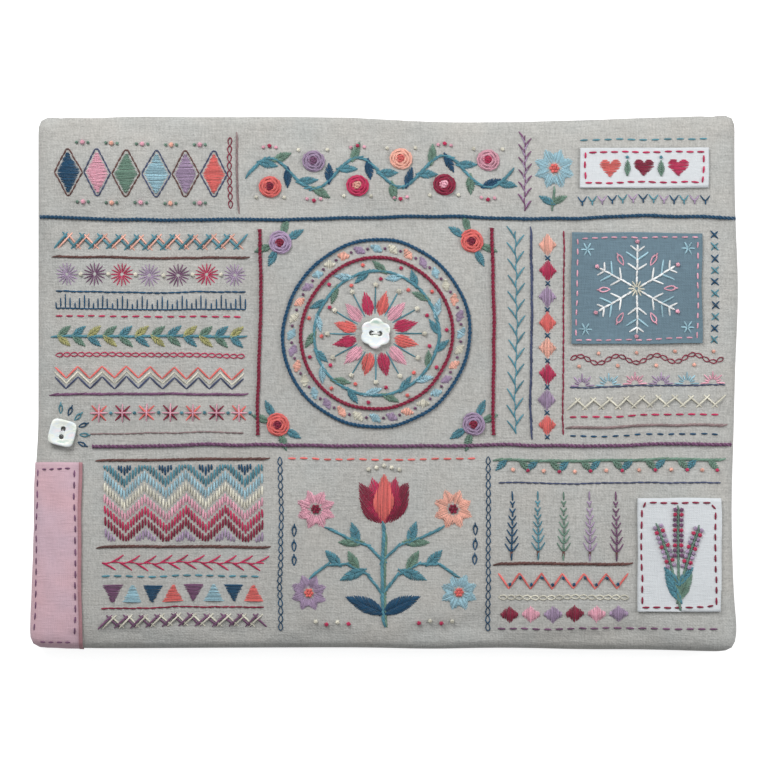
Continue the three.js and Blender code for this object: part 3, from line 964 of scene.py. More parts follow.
@dataclass
class Patch:
    """A cotton patch sewn on the front, cut from the front's own surface so that it lies on it.

    Attributes:
        name: the piece's name.
        node: the solid that it stands for.
        low: lower left corner; a side that laps over an edge runs off the pouch.
        high: upper right corner.
        flat: the size it is cut to, or None for a hem that belongs to another patch.
        finish: its material.
        thickness: its cloth's thickness.
        lift: how much higher than a single layer it lies.
        hems: the hems that belong to it; not used.
        clear: its clearance from the linen.
        puff: how far its turned edges stand up.
        puff_reach: how far in from an edge that fades.
        ripple: how far its surface waves up and down.
        sway: how far its edges stray from a straight line.
        piece: the finished piece.
        area: its area as laid.
    """

    name: str
    node: str
    low: Point
    high: Point
    flat: Optional[Point]
    finish: Material
    thickness: float = 0.0005
    lift: float = 0.0
    hems: tuple[str, ...] = ()
    clear: float = 0.0003
    puff: float = 0.00022
    puff_reach: float = 0.0016
    ripple: float = 0.00012
    sway: float = 0.0006
    piece: Object = field(init=False)
    area: float = field(init=False)

    def build(self, front: Object) -> None:
        """Cuts the patch, lifts it off the linen and puffs its turned edges.

        Args:
            front: the front panel, still a sheet.
        """
        shape = bmesh.new()
        shape.from_mesh(front.data)
        low, high = Vector((*self.low, 0.0)), Vector((*self.high, 0.0))
        cuts = [(low, (-1, 0, 0)), (high, (1, 0, 0)), (low, (0, -1, 0)), (high, (0, 1, 0))]
        for at, away in cuts:
            whole = shape.verts[:] + shape.edges[:] + shape.faces[:]
            bmesh.ops.bisect_plane(shape, geom=whole, plane_co=at, plane_no=away, clear_outer=True)
        put_in_order(shape, lambda vertex: vertex.co[:])
        self.area = sum(face.calc_area() for face in shape.faces)
        ripples, bends = 170, 45  # how finely its surface and its edges waver
        for vertex in shape.verts:
            inset = min(
                vertex.co.x - low.x, high.x - vertex.co.x, vertex.co.y - low.y, high.y - vertex.co.y
            )
            puff = self.puff * math.exp(-((inset / self.puff_reach) ** 2))
            ripple = self.ripple * noise.noise(vertex.co * ripples)
            facing = 0.34 + 0.66 * max(0.0, vertex.normal.z) ** 2  # less where it laps over an edge
            lift = self.clear + self.thickness + puff + self.lift
            vertex.co += vertex.normal * (facing * lift + ripple)
        for vertex in shape.verts:
            sway = noise.noise_vector(vertex.co * bends) * self.sway
            vertex.co += sway - vertex.normal * sway.dot(vertex.normal)
        self.piece = made_object(self.name, mesh_of(shape), self.finish)

    def finish_off(self) -> None:
        """Gives the patch its thickness, fixes it to the pouch's body and hides the solid that it stands
        for.
        """
        thicken(self.piece, self.thickness)
        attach(self.piece, "pouch")
        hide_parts(self.node)
        if self.flat:
            min(self.area, self.flat[0] * self.flat[1])


# Needlework


def arc(x: float, y: float, radius: float, start: float, stop: float, steps: int) -> Path:
    """Points along an arc about x, y, from one angle to another, in turns."""
    turns = [start + (stop - start) * i / steps for i in range(steps + 1)]
    return [spoke(x, y, radius, turn) for turn in turns]


def wave(x0: float, x1: float, y: float, rise: float, length: float) -> Path:
    """Points along a wave.

    Args:
        x0: where it starts.
        x1: where it ends.
        y: its middle line.
        rise: how far it leaves that line.
        length: from crest to crest.

    Returns:
        The points.
    """
    steps = max(8, round(abs(x1 - x0) / 2))
    places = [x0 + (x1 - x0) * i / steps for i in range(steps + 1)]
    return [(x, y + rise * math.sin(TURN * (x - x0) / length)) for x in places]


def level(x0: float, x1: float, y: float) -> Path:
    """A level line from x0 to x1."""
    return [(x0, y), (x1, y)]


def upright(x: float, y0: float, y1: float) -> Path:
    """An upright line from y0 to y1."""
    return [(x, y0), (x, y1)]


def measured(path: Path, step: float) -> list[Mark]:
    """Evenly spaced places along a path, each with the direction there.

    Args:
        path: its points.
        step: about how far apart the places are.

    Returns:
        Each place and its unit direction.
    """
    lengths = [math.dist(a, b) for a, b in zip(path, path[1:])]
    count = max(1, round(sum(lengths) / step))
    pace = sum(lengths) / count
    tiny = 1e-9
    places, index, passed = [], 0, 0.0
    for i in range(count + 1):
        along = i * pace
        while index < len(lengths) - 1 and passed + lengths[index] < along - tiny:
            passed += lengths[index]
            index += 1
        far = max(lengths[index], tiny)
        share = (along - passed) / far
        (ax, ay), (bx, by) = path[index], path[index + 1]
        places.append((ax + (bx - ax) * share, ay + (by - ay) * share, (bx - ax) / far, (by - ay) / far))
    return places


def spans(path: Path, step: float) -> Iterable[tuple[Mark, Mark]]:
    """Each place along a path with the next one."""
    places = measured(path, step)
    return zip(places, places[1:])


def turned(points: Iterable[Point], x: float, y: float, angle: float, size: float = 1.0) -> Path:
    """Points scaled, turned by an angle in turns, and moved to x, y."""
    c, s = math.cos(angle * TURN) * size, math.sin(angle * TURN) * size
    return [(x + px * c - py * s, y + px * s + py * c) for px, py in points]


def spoke(x: float, y: float, reach: float, turn: float) -> Point:
    """The place at a distance from x, y, along an angle in turns."""
    return turned([(reach, 0)], x, y, turn)[0]


def drop(length: float, breadth: float, point: float) -> Path:
    """The outline of a petal that grows along +X from its base.

    Args:
        length: its length.
        breadth: its greatest breadth.
        point: where that is: 1 is halfway along, less is nearer the base.

    Returns:
        The outline.
    """
    steps = 12
    shares = [i / steps for i in range(steps + 1)]
    upper = [(length * t, breadth / 2 * math.sin(math.pi * t ** point) ** 0.9) for t in shares]
    return upper + [(px, -py) for px, py in reversed(upper[1:-1])]


def heart(size: float) -> Path:
    """The outline of a heart about its middle.

    Args:
        size: half its width.

    Returns:
        The outline.
    """
    steps = 28
    outline = []
    for i in range(steps):
        t = TURN * i / steps
        px = math.sin(t) ** 3
        py = (13 * math.cos(t) - 5 * math.cos(2 * t) - 2 * math.cos(3 * t) - math.cos(4 * t)) / 16
        outline.append((px * size, py * size))
    return outline


class Needle:
    """Lays stitches on the cloth, in millimetres, and keeps them by colour until a zone is done."""

    def __init__(self, ground: Ground, seed: int) -> None:
        """Starts with no stitches.

        Args:
            ground: the cloth to work on.
            seed: fixes the small unevenness of a hand.
        """
        self.ground = ground
        self.hand = random.Random(seed)
        self.strands: dict[Floss, list[Strand]] = defaultdict(list)

    def stray(self, reach: float) -> float:
        """A small error of the hand."""
        return self.hand.uniform(-reach, reach)

    def by_eye(self, x: float, y: float) -> Point:
        """Moves a place as a line drawn by eye strays.

        Args:
            x: where it is meant to be.
            y: likewise.

        Returns:
            Where it comes to lie.
        """
        far, near = 52, 14  # the long and the short stretches of its strays
        slow = noise.noise_vector(Vector((x / far, y / far, 3.1))) * 1.1
        quick = noise.noise_vector(Vector((x / near, y / near, 7.7))) * 0.5
        return (x + slow.x + quick.x, y + slow.y + quick.y)

    def lay(self, points: Path, floss: Floss, width: float, rise: float = 0.0) -> None:
        """Lays one length of thread over the cloth, with its ends sunk in it.

        Args:
            points: its places.
            floss: its colour.
            width: of the thread.
            rise: how far its middle stands above the cloth.
        """
        last = len(points) - 1
        strand = []
        for i, (x, y) in enumerate(self.by_eye(*point) for point in points):
            hump = math.sin(math.pi * i / last) ** 0.5 if 0 < i < last else 0.0
            z = self.ground.height(x, y) + width * (0.4 * hump - 0.14) + rise * hump
            strand.append((x, y, z, width / 2 * (0.7 + 0.3 * hump)))
        self.strands[floss].append(strand)

    def stitch(self, a: Point, b: Point, floss: Floss, width: float, rise: float = 0.0) -> None:
        """One straight stitch.

        Args:
            a: where it starts.
            b: where it ends.
            floss: its colour.
            width: of the thread.
            rise: how far its middle stands above the cloth.
        """
        steps = min(6, max(3, 2 + round(math.dist(a, b) / 4)))
        slack = min(0.12, 0.05 * math.dist(a, b))
        ax, ay = a[0] + self.stray(slack), a[1] + self.stray(slack)
        bx, by = b[0] + self.stray(slack), b[1] + self.stray(slack)
        points = [(ax + (bx - ax) * i / steps, ay + (by - ay) * i / steps) for i in range(steps + 1)]
        self.lay(points, floss, width, rise)

    def running(self, path: Path, floss: Floss, dash: float, gap: float, width: float) -> None:
        """Running stitch.

        Args:
            path: its line.
            floss: its colour.
            dash: length of a stitch.
            gap: from stitch to stitch.
            width: of the thread.
        """
        share = dash / (dash + gap)
        for (x, y, _, _), (nx, ny, _, _) in spans(path, dash + gap):
            self.stitch((x, y), (x + (nx - x) * share, y + (ny - y) * share), floss, width)

    def back(self, path: Path, floss: Floss, dash: float, width: float) -> None:
        """Backstitch along a path: a closed line of stitches of length dash."""
        for (x, y, _, _), (nx, ny, _, _) in spans(path, dash):
            self.stitch((x, y), (nx, ny), floss, width)

    def stem(self, path: Path, floss: Floss, width: float, length: float = 4.0) -> None:
        """Stem stitch: slanting stitches that overlap into a rope.

        Args:
            path: its line.
            floss: its colour.
            width: of the thread.
            length: length of a stitch.
        """
        width *= 1.15
        slant = width * 0.5
        reach = length / 2
        for x, y, dx, dy in measured(path, length * 0.45):
            a = (x - dx * reach + dy * slant, y - dy * reach - dx * slant)
            b = (x + dx * reach - dy * slant, y + dy * reach + dx * slant)
            self.stitch(a, b, floss, width, 0.15)

    def chain(self, path: Path, floss: Floss, link: float = 3.2, width: float = 0.5) -> None:
        """Chain stitch along a path: linked loops of length link."""
        for (x, y, _, _), (nx, ny, _, _) in spans(path, link):
            self.loop((x, y), (nx, ny), floss, width, 0.34)

    def loop(self, a: Point, b: Point, floss: Floss, width: float, plump: float) -> None:
        """One loop of thread.

        Args:
            a: where it starts and ends.
            b: where it is caught.
            floss: its colour.
            width: of the thread.
            plump: how wide it is for its length.
        """
        length = math.dist(a, b)
        angle = math.atan2(b[1] - a[1], b[0] - a[0]) / TURN
        half = [(0.0, 0.0), (0.3, 0.34), (0.66, 0.5), (0.92, 0.3), (1.05, 0.0)]
        outline = half + [(px, -py) for px, py in reversed(half[:-1])]
        shape = [(px * length, py * length * plump * 1.6) for px, py in outline]
        self.lay(turned(shape, *a, angle), floss, width, 0.1)

    def rope(self, path: Path, floss: Floss) -> None:
        """A two-ply cord laid on the cloth and caught down with small stitches.

        Args:
            path: its line.
            floss: its colour.
        """
        width, lay, step = 1.5, 3.2, 0.45  # of the cord, of one turn of its plies, and along it
        places = measured(path, step)
        plies: tuple[Strand, Strand] = ([], [])
        for i, (x, y, dx, dy) in enumerate(places):
            x, y = self.by_eye(x, y)
            base = self.ground.height(x, y) + width * 0.36
            for ply, strand in enumerate(plies):
                turn = TURN * (i * step / lay + ply / 2)
                side, lift = width * 0.25 * math.cos(turn), width * 0.25 * math.sin(turn)
                strand.append((x - dy * side, y + dx * side, base + lift, width * 0.29))
        self.strands[floss].extend(plies)
        for x, y, dx, dy in measured(path, 6.5):
            reach = width * 0.6
            a, b = (x + dy * reach, y - dx * reach), (x - dy * reach, y + dx * reach)
            self.stitch(a, b, floss, 0.4, width * 0.7)

    def cross(self, x: float, y: float, size: float, floss: Floss, width: float) -> None:
        """A cross stitch.

        Args:
            x: its middle.
            y: its middle.
            size: its width.
            floss: its colour.
            width: of the thread.
        """
        half = size / 2
        self.stitch((x - half, y - half), (x + half, y + half), floss, width)
        self.stitch((x - half, y + half), (x + half, y - half), floss, width, 0.45)

    def star(self, x: float, y: float, reach: float, arms: int, floss: Floss, width: float,
             hollow: float = 0.0) -> None:
        """Straight stitches that spread from a middle.

        Args:
            x: its middle.
            y: its middle.
            reach: how far they go.
            arms: how many there are.
            floss: its colour.
            width: of the thread.
            hollow: how far from the middle they start.
        """
        for i in range(arms):
            turn = i / arms
            self.stitch(spoke(x, y, hollow, turn), spoke(x, y, reach, turn), floss, width)

    def herringbone(self, path: Path, half: float, pitch: float, floss: Floss, width: float) -> None:
        """Crossed slanting stitches between two lines.

        Args:
            path: its line.
            half: half its breadth.
            pitch: from stitch to stitch.
            floss: its colour.
            width: of the thread.
        """
        for i, ((x, y, dx, dy), (nx, ny, _, _)) in enumerate(spans(path, pitch)):
            side = half if i % 2 else -half
            a = (x - dx * 1.1 - dy * side, y - dy * 1.1 + dx * side)
            b = (nx + dx * 1.1 + dy * side, ny + dy * 1.1 - dx * side)
            self.stitch(a, b, floss, width, 0.2 if i % 2 else 0.5)

    def feather(self, path: Path, reach: float, step: float, floss: Floss, width: float) -> None:
        """Open loops thrown to each side in turn.

        Args:
            path: its line.
            reach: how far they go to a side.
            step: from loop to loop.
            floss: its colour.
            width: of the thread.
        """
        for i, ((x, y, dx, dy), (nx, ny, _, _)) in enumerate(spans(path, step)):
            side = reach if i % 2 else -reach
            tip = (x - dy * side - dx * step * 0.6, y + dx * side - dy * step * 0.6)
            bow = ((x + nx) / 2 - dy * side * 0.1, (y + ny) / 2 + dx * side * 0.1)
            self.lay([(x, y), bow, (nx, ny)], floss, width)
            bend = ((tip[0] + nx) / 2 - dx * 0.5, (tip[1] + ny) / 2 - dy * 0.5)
            self.lay([tip, bend, (nx, ny)], floss, width, 0.15)

    def fly(self, x: float, y: float, angle: float, size: float, floss: Floss, tail: float,
            width: float = 0.7) -> None:
        """A V with a tail.

        Args:
            x: where they meet.
            y: where they meet.
            angle: the way it opens, in turns.
            size: its size.
            floss: its colour.
            tail: its tail's length, as a share of its size.
            width: of the thread.
        """
        arm = [(size * 0.7, size * 0.6), (size * 0.15, size * 0.22)]
        vee = arm + [(0, 0)] + [(px, -py) for px, py in reversed(arm)]
        self.lay(turned(vee, x, y, angle), floss, width, 0.1)
        foot = turned([(0.2, 0), (-size * tail, 0)], x, y, angle)
        self.stitch(*foot, floss, width, 0.2)

    def daisy(self, x: float, y: float, angle: float, length: float, floss: Floss, width: float) -> None:
        """A single loop caught by a short stitch at its tip.

        Args:
            x: its base.
            y: its base.
            angle: the way it points, in turns.
            length: its length.
            floss: its colour.
            width: of the thread.
        """
        tip, end, start = turned([(length, 0), (length + 1.0, 0), (length - 0.5, 0)], x, y, angle)
        self.loop((x, y), tip, floss, width, 0.26)
        self.stitch(start, end, floss, width, 0.3)

    def knot(self, x: float, y: float, floss: Floss, size: float) -> None:
        """A knot of thread wound on itself.

        Args:
            x: its middle.
            y: its middle.
            floss: its colour.
            size: its width.
        """
        x, y = self.by_eye(x, y)
        base = self.ground.height(x, y)
        strand = []
        start = self.hand.random()
        steps = 10
        for i in range(steps + 1):
            t = i / steps
            place = spoke(x, y, size * (0.36 - 0.16 * t), start + 2.1 * t)
            strand.append((*place, base + size * (0.1 + 0.42 * t), size * 0.26))
        self.strands[floss].append(strand)

    def satin(self, outline: Path, angle: float, floss: Floss, pitch: float, rise: float = 0.35) -> None:
        """Fills an outline with threads laid side by side.

        Args:
            outline: the shape.
            angle: the way the threads run, in turns.
            floss: their colour.
            pitch: from thread to thread.
            rise: how far the middle of the shape is padded.
        """
        laid = turned(outline, 0, 0, -angle)
        low, high = min(p[1] for p in laid), max(p[1] for p in laid)
        count = max(2, round((high - low) / pitch))
        for i in range(count):
            y = low + (high - low) * (i + 0.5) / count
            hits = []
            for (ax, ay), (bx, by) in zip(laid, laid[1:] + laid[:1]):
                if (ay > y) != (by > y):
                    hits.append(ax + (bx - ax) * (y - ay) / (by - ay))
            hits.sort()
            for left, right in zip(hits[::2], hits[1::2]):
                if right - left < 0.5:
                    continue
                ends = [(left - 0.1 + self.stray(0.22), y), (right + 0.1 + self.stray(0.22), y)]
                a, b = turned(ends, 0, 0, angle)
                self.stitch(a, b, floss, pitch * 1.08, rise)

    def leaf(self, x: float, y: float, angle: float, length: float, breadth: float, floss: Floss) -> None:
        """A leaf in fishbone stitch: threads that slant from its edges to its vein and cross there.

        Args:
            x: its base.
            y: its base.
            angle: the way it points, in turns.
            length: its length.
            breadth: its breadth.
            floss: its colour.
        """
        count = max(5, round(length / 0.75))
        self.stitch(*turned([(length * 0.72, 0), (length, 0)], x, y, angle), floss, 0.6, 0.2)
        for i in range(count):
            t = 0.96 - 0.92 * i / (count - 1)
            half = breadth / 2 * math.sin(math.pi * min(1.0, t * 0.96 + 0.04) ** 0.8) ** 0.85
            for side in (1, -1):
                rim = (length * t, side * half)
                vein = (length * (t - 0.24), -side * breadth * 0.06)
                a, b = turned([rim, vein], x, y, angle)
                self.stitch(a, b, floss, 0.62, 0.3)

    def rose(self, x: float, y: float, radius: float, floss: Floss, heart_floss: Floss) -> None:
        """A woven wheel: thread that winds over and under five spokes.

        Args:
            x: its middle.
            y: its middle.
            radius: its radius.
            floss: its colour.
            heart_floss: its heart's colour.
        """
        self.star(x, y, radius * 0.98, 5, floss, 0.6)
        x, y = self.by_eye(x, y)
        base = self.ground.height(x, y)
        turns = radius / 0.62
        for colour, first, last in ((floss, 0.34, 1.0), (heart_floss, 0.0, 0.38)):
            steps = max(8, round(turns * (last - first) * 13))
            strand = []
            for i in range(steps + 1):
                t = first + (last - first) * i / steps
                weave = math.sin(2.5 * TURN * turns * t)
                place = spoke(x, y, radius * t + 0.12 * weave, turns * t)
                strand.append((*place, base + 0.55 + 0.3 * weave + 0.7 * (1 - t), 0.4))
            self.strands[colour].append(strand)

    def blanket(self, path: Path, depths: Sequence[float], step: float, floss: Floss, width: float) -> None:
        """Blanket stitch: upright legs from a purled edge.

        Args:
            path: its line.
            depths: the legs' lengths, in turn.
            step: from leg to leg.
            floss: its colour.
            width: of the thread.
        """
        places = measured(path, step)
        for i, (x, y, dx, dy) in enumerate(places):
            depth = depths[i % len(depths)]
            self.stitch((x, y), (x - dy * depth, y + dx * depth), floss, width)
            if i + 1 < len(places):
                self.stitch((x, y), places[i + 1][:2], floss, width, 0.15)

    def zigzag(self, path: Path, half: float, pitch: float, floss: Floss, width: float) -> None:
        """A line that steps from side to side.

        Args:
            path: its line.
            half: half its breadth.
            pitch: from step to step.
            floss: its colour.
            width: of the thread.
        """
        marks = []
        for i, (x, y, dx, dy) in enumerate(measured(path, pitch)):
            side = half * (-1) ** i
            marks.append((x - dy * side, y + dx * side))
        for a, b in zip(marks, marks[1:]):
            self.stitch(a, b, floss, width)

    def shade(self, shape: BMesh) -> None:
        """Gives each strand a tone of its own, as light falls on it.

        Args:
            shape: the zone's strands.
        """
        tone = shape.verts.layers.float.new("tone")
        for first in shape.verts:
            if first.tag:
                continue
            value = self.hand.uniform(0.22, 0.78)
            first.tag = True
            reached = [first]
            while reached:
                vertex = reached.pop()
                vertex[tone] = value
                for other in (edge.other_vert(vertex) for edge in vertex.link_edges):
                    if not other.tag:
                        other.tag = True
                        reached.append(other)

    def piece(self, name: str, *nodes: str) -> None:
        """Makes the zone's stitches one mesh, and starts the needle afresh.

        Args:
            name: the piece's name.
            nodes: the solids that it stands for.
        """
        shape = bmesh.new()
        colours = list(self.strands)
        for index, floss in enumerate(colours):
            curve = bpy.data.curves.new("strands", "CURVE")
            curve.dimensions = "3D"
            curve.bevel_depth = MM
            curve.bevel_resolution = 1
            curve.use_fill_caps = True
            for strand in self.strands[floss]:
                spline = curve.splines.new("POLY")
                spline.points.add(len(strand) - 1)
                for point, (x, y, z, radius) in zip(spline.points, strand):
                    point.co = (x * MM, y * MM, z * MM, 1.0)
                    point.radius = radius
            skein = placed("strands", curve)
            graph = bpy.context.evaluated_depsgraph_get()
            mesh = bpy.data.meshes.new_from_object(skein.evaluated_get(graph))
            before = len(shape.faces)
            shape.from_mesh(mesh)
            shape.faces.ensure_lookup_table()
            for face in shape.faces[before:]:
                face.material_index = index
            bpy.data.objects.remove(skein)
            bpy.data.curves.remove(curve)
            bpy.data.meshes.remove(mesh)
        self.shade(shape)
        piece = made_object(name, mesh_of(shape), *(floss.material() for floss in colours))
        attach(piece, "pouch")
        if nodes:
            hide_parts(*nodes)
        self.strands = defaultdict(list)
        log.info("%s: %d faces", name, len(piece.data.polygons))


F = Floss  # its short name, for the sampler


@dataclass
class Sampler:
    """The needlework of the front, zone by zone.

    Attributes:
        needle: what lays its stitches.
        middle: the flower button's place, which the medallion goes round.
    """

    needle: Needle
    middle: Point = FLOWER_BUTTON

    def build(self) -> None:
        """Works every zone."""
        self.borders()
        self.top_band()
        self.left_column()
        self.medallion()
        self.right_column()
        self.low_left()
        self.low_middle()
        self.low_right()
        self.patches()

    def borders(self) -> None:
        """Lays the couched cords."""
        n = self.needle
        x, y = self.middle
        n.rope(level(-137.2, 139.2, BORDER_TOP), F.PETROL)
        n.rope(level(-116, 138, BORDER_LOW), F.PLUM)
        n.rope(upright(BORDER_LEFT, -20.4, 62), F.BURGUNDY)
        n.rope(upright(BORDER_RIGHT, -20.4, 62), F.BURGUNDY)
        n.rope(arc(x, y, 37, 0, 1, 72), F.PETROL)
        n.rope(arc(x, y, 30, 0, 1, 60), F.BURGUNDY)
        n.piece(
            "border_cords", "top_border_cord", "low_border_cord", "left_border_cord", "right_border_cord",
            "medallion_outer_cord", "medallion_inner_cord",
        )

    def top_band(self) -> None:
        """Works lozenges, a flowering vine and a small flower beside the white strip."""
        n = self.needle
        lozenge = [(5.2, 0), (0, 9.5), (-5.2, 0), (0, -9.5)]
        fills = (F.PETROL, F.PINK, F.SAGE, F.SKY, F.LILAC, F.CORAL)
        for i, fill in enumerate(fills):
            x = -126 + 11.6 * i
            n.satin(turned(lozenge, x, 84, 0, 0.86), 0.0, fill, 0.55)
            n.back(turned(lozenge + lozenge[:1], x, 84, 0, 1.06), F.NAVY if i % 2 else F.BROWN, 2.6, 0.7)
            for y in (95.5, 72.5) if fill is not fills[-1] else ():
                n.knot(x + 5.8, y, F.PEACH if i % 2 else F.PINK, 1.9)
                n.knot(x + 3.6, y, F.SAGE, 1.3)
                n.knot(x + 8.0, y, F.SAGE, 1.3)
        n.chain(upright(-61.5, 70, 98), F.BURGUNDY)
        n.stem(upright(-58.5, 70, 98), F.TAUPE, 0.6)
        self.vine(-54, 50, 84, 6.0, 34.5)
        n.feather(upright(55.5, 99, 69), 2.6, 2.5, F.PLUM, 0.75)
        n.feather(upright(55.5, 97.8, 69), 1.8, 2.5, F.LILAC, 0.6)
        self.bloom(67, 86, 8.4, F.SKY, F.CORAL)
        n.stem([(67, 77.5), (66.2, 70.5)], F.SAGE, 0.6, 3.0)
        n.leaf(66.6, 72.5, 0.07, 6.0, 3.0, F.SAGE)
        n.leaf(66.4, 72.0, 0.42, 6.0, 3.0, F.TEAL)
        for i in range(13):
            n.fly(78 + 4.1 * i, 72.6, 0.25, 3.0, (F.PETROL, F.TEAL, F.LILAC)[i % 3], 0.5)
        n.running(level(78, 130, 97.4), F.TEAL, 2.8, 1.9, 0.8)
        n.piece("top_band_stitching")

    def vine(self, x0: float, x1: float, y: float, rise: float, length: float) -> None:
        """A stem that winds, with leaves along it and roses in its bends.

        Args:
            x0: where it starts.
            x1: where it ends.
            y: its middle line.
            rise: how far it leaves that line.
            length: from crest to crest.
        """
        n = self.needle
        path = wave(x0, x1, y, rise, length)
        n.stem(path, F.TEAL, 0.8)
        greens = (F.TEAL, F.SAGE, F.PETROL)
        for i, (x, py, dx, dy) in enumerate(measured(path, 6.4)[1:-1]):
            side = 1 if i % 2 else -1
            angle = math.atan2(dy, dx) / TURN + side * 0.13
            n.leaf(x, py, angle, 7.2, 3.4, greens[i % 3])
        blooms = (F.CORAL, F.LILAC, F.RASPBERRY, F.PEACH, F.BURGUNDY, F.PINK)
        hearts = (F.BURGUNDY, F.PLUM, F.PEACH, F.CORAL, F.PINK, F.RASPBERRY)
        for i in range(6):
            x = x0 + length / 4 + length / 2 * i
            up = 1 if i % 2 == 0 else -1
            n.rose(x, y - up * 5.2, 4.4, blooms[i], hearts[i])
            n.knot(x - 5.6, y - up * 9.4, F.CREAM, 1.5)
            n.knot(x + 5.6, y - up * 9.4, F.CREAM, 1.5)
            n.knot(x, y + up * 10.8, F.RASPBERRY, 1.7)
            n.knot(x - 2.6, y + up * 10.2, F.PINK, 1.4)
            n.knot(x + 2.6, y + up * 10.2, F.PINK, 1.4)

    def bloom(self, x: float, y: float, reach: float, petal: Floss, core: Floss) -> None:
        """A flower of satin petals round a bed of knots.

        Args:
            x: its middle.
            y: its middle.
            reach: its radius.
            petal: the petals' colour.
            core: the knots' colour.
        """
        n = self.needle
        petals, knots = 8, 6
        for i in range(petals):
            turn = (i + 0.5) / petals
            shape = turned(drop(reach * 0.72, reach * 0.5, 0.75), *spoke(x, y, reach * 0.27, turn), turn)
            n.satin(shape, turn, petal, 0.5, 0.25)
        for i in range(knots):
            n.knot(*spoke(x, y, reach * 0.16, i / knots), core, 1.4)
        n.knot(x, y, core, 1.5)

    def left_column(self) -> None:
        """Works bands of traditional border stitches, and a sprig beside the square button."""
        n = self.needle

        def line(y: float) -> Path:
            """A level line across the column."""
            return level(-131, -56, y)

        n.herringbone(line(57), 3.2, 3.6, F.TEAL, 0.9)
        n.herringbone(level(-129.2, -57.8, 57), 3.2, 3.6, F.PEACH, 0.7)
        n.stem(line(50.4), F.BROWN, 0.65)
        for i in range(7):
            x = -126.5 + 11 * i
            n.star(x, 43.4, 4.6, 16, (F.LILAC, F.PLUM, F.RASPBERRY)[i % 3], 0.55, 0.7)
            if i < 6:
                n.knot(x + 5.5, 43.4, F.CREAM, 1.7)
        n.back(line(36.4), F.PETROL, 2.8, 0.8)
        n.blanket(line(29.5), (2.4, 4.2, 5.6, 4.2), 1.9, F.PETROL, 0.65)
        n.running(line(26.6), F.RASPBERRY, 2.6, 1.7, 0.8)
        n.stem(level(-131, -57, 18.6), F.TEAL, 0.7)
        for i in range(12):
            x = -129.5 + 6.2 * i
            n.leaf(x, 18.9, 0.11, 6.0, 2.8, (F.SAGE, F.TEAL, F.OLIVE)[i % 3])
            n.leaf(x, 18.3, -0.11, 6.0, 2.8, (F.OLIVE, F.SAGE, F.TEAL)[i % 3])
        n.chain(line(11.2), F.RASPBERRY, 3.0, 0.5)
        for shift, floss in ((0.0, F.CORAL), (-2.0, F.CREAM), (-4.0, F.NAVY)):
            n.zigzag(line(4.2 + shift), 2.3, 4.7, floss, 0.8)
        n.stem(line(-4.2), F.PLUM, 0.65)
        for i in range(7):
            x = -113.5 + 9.3 * i
            n.cross(x, -11.6, 5.6, F.BURGUNDY if i % 2 else F.CORAL, 0.85)
            n.stitch((x - 3.4, -11.6), (x + 3.4, -11.6), F.PINK, 0.7, 0.7)
            n.stitch((x, -15.0), (x, -8.2), F.PINK, 0.7, 1.0)
            n.knot(x + 4.65, -11.6, F.TEAL, 1.4)
        n.back(level(-56, -117, -19.4), F.TAUPE, 2.6, 0.7)
        for i in range(6):
            turn = i / 16 - 0.07
            n.daisy(*spoke(-129, -19.2, 7.8, turn), turn, 3.4, (F.PETROL, F.TEAL)[i % 2], 0.6)
        n.piece("left_column_stitching")

    def medallion(self) -> None:
        """Works petals round the flower button, a wreath, and slanting lozenges between the two rings."""
        n = self.needle
        x, y = self.middle
        for i in range(12):
            turn = (i + 0.5) / 12
            shape = turned(drop(9.6, 4.6, 0.72), *spoke(x, y, 7.6, turn), turn)
            n.satin(shape, turn, (F.RASPBERRY, F.PINK, F.CORAL)[i % 3], 0.52, 0.3)
            tip = spoke(x, y, 19.2, i / 12)
            n.stitch(spoke(x, y, 8.0, i / 12), tip, F.TEAL, 0.6)
            n.knot(*tip, F.CREAM, 2.0)
        n.stem(arc(x, y, 24.6, 0, 1, 60), F.TEAL, 0.75)
        greens = (F.TEAL, F.SKY, F.SAGE)
        for i in range(22):
            turn = i / 22
            side = 1 if i % 2 else -1
            n.leaf(*spoke(x, y, 24.6, turn), turn + 0.25 + side * -0.09, 6.6, 3.0, greens[i % 3])
            berry = spoke(x, y, 24.6 + side * -3.0, turn + 0.008)
            n.knot(*berry, (F.RASPBERRY, F.CORAL)[(i // 2) % 2], 1.6)
        lozenge = [(2.9, 0), (0, 1.7), (-2.9, 0), (0, -1.7)]
        fills = (F.SKY, F.LILAC, F.PEACH, F.CREAM)
        for i in range(32):
            turn = i / 32
            shape = turned(lozenge, *spoke(x, y, 33.5, turn), turn + 0.16)
            n.satin(shape, turn + 0.41, fills[i % 4], 0.5, 0.25)
            n.knot(*spoke(x, y, 33.5, turn + 1 / 64), F.PLUM, 1.2)
        for sx, sy in ((-38.5, 36.5), (38.5, 36.5), (-38.5, -36.5), (38.5, -36.5)):
            px, py = x + sx, y + sy
            inward = math.atan2(-sy, -sx) / TURN
            n.rose(px, py, 4.6, F.CORAL if sx * sy > 0 else F.LILAC, F.BURGUNDY)
            for fan, floss in ((-0.2, F.TEAL), (0.2, F.TEAL), (0.32, F.SAGE), (-0.32, F.SAGE)):
                n.leaf(*spoke(px, py, 4.4, inward + fan), inward + fan, 6.4, 3.1, floss)
        n.piece("medallion_stitching")

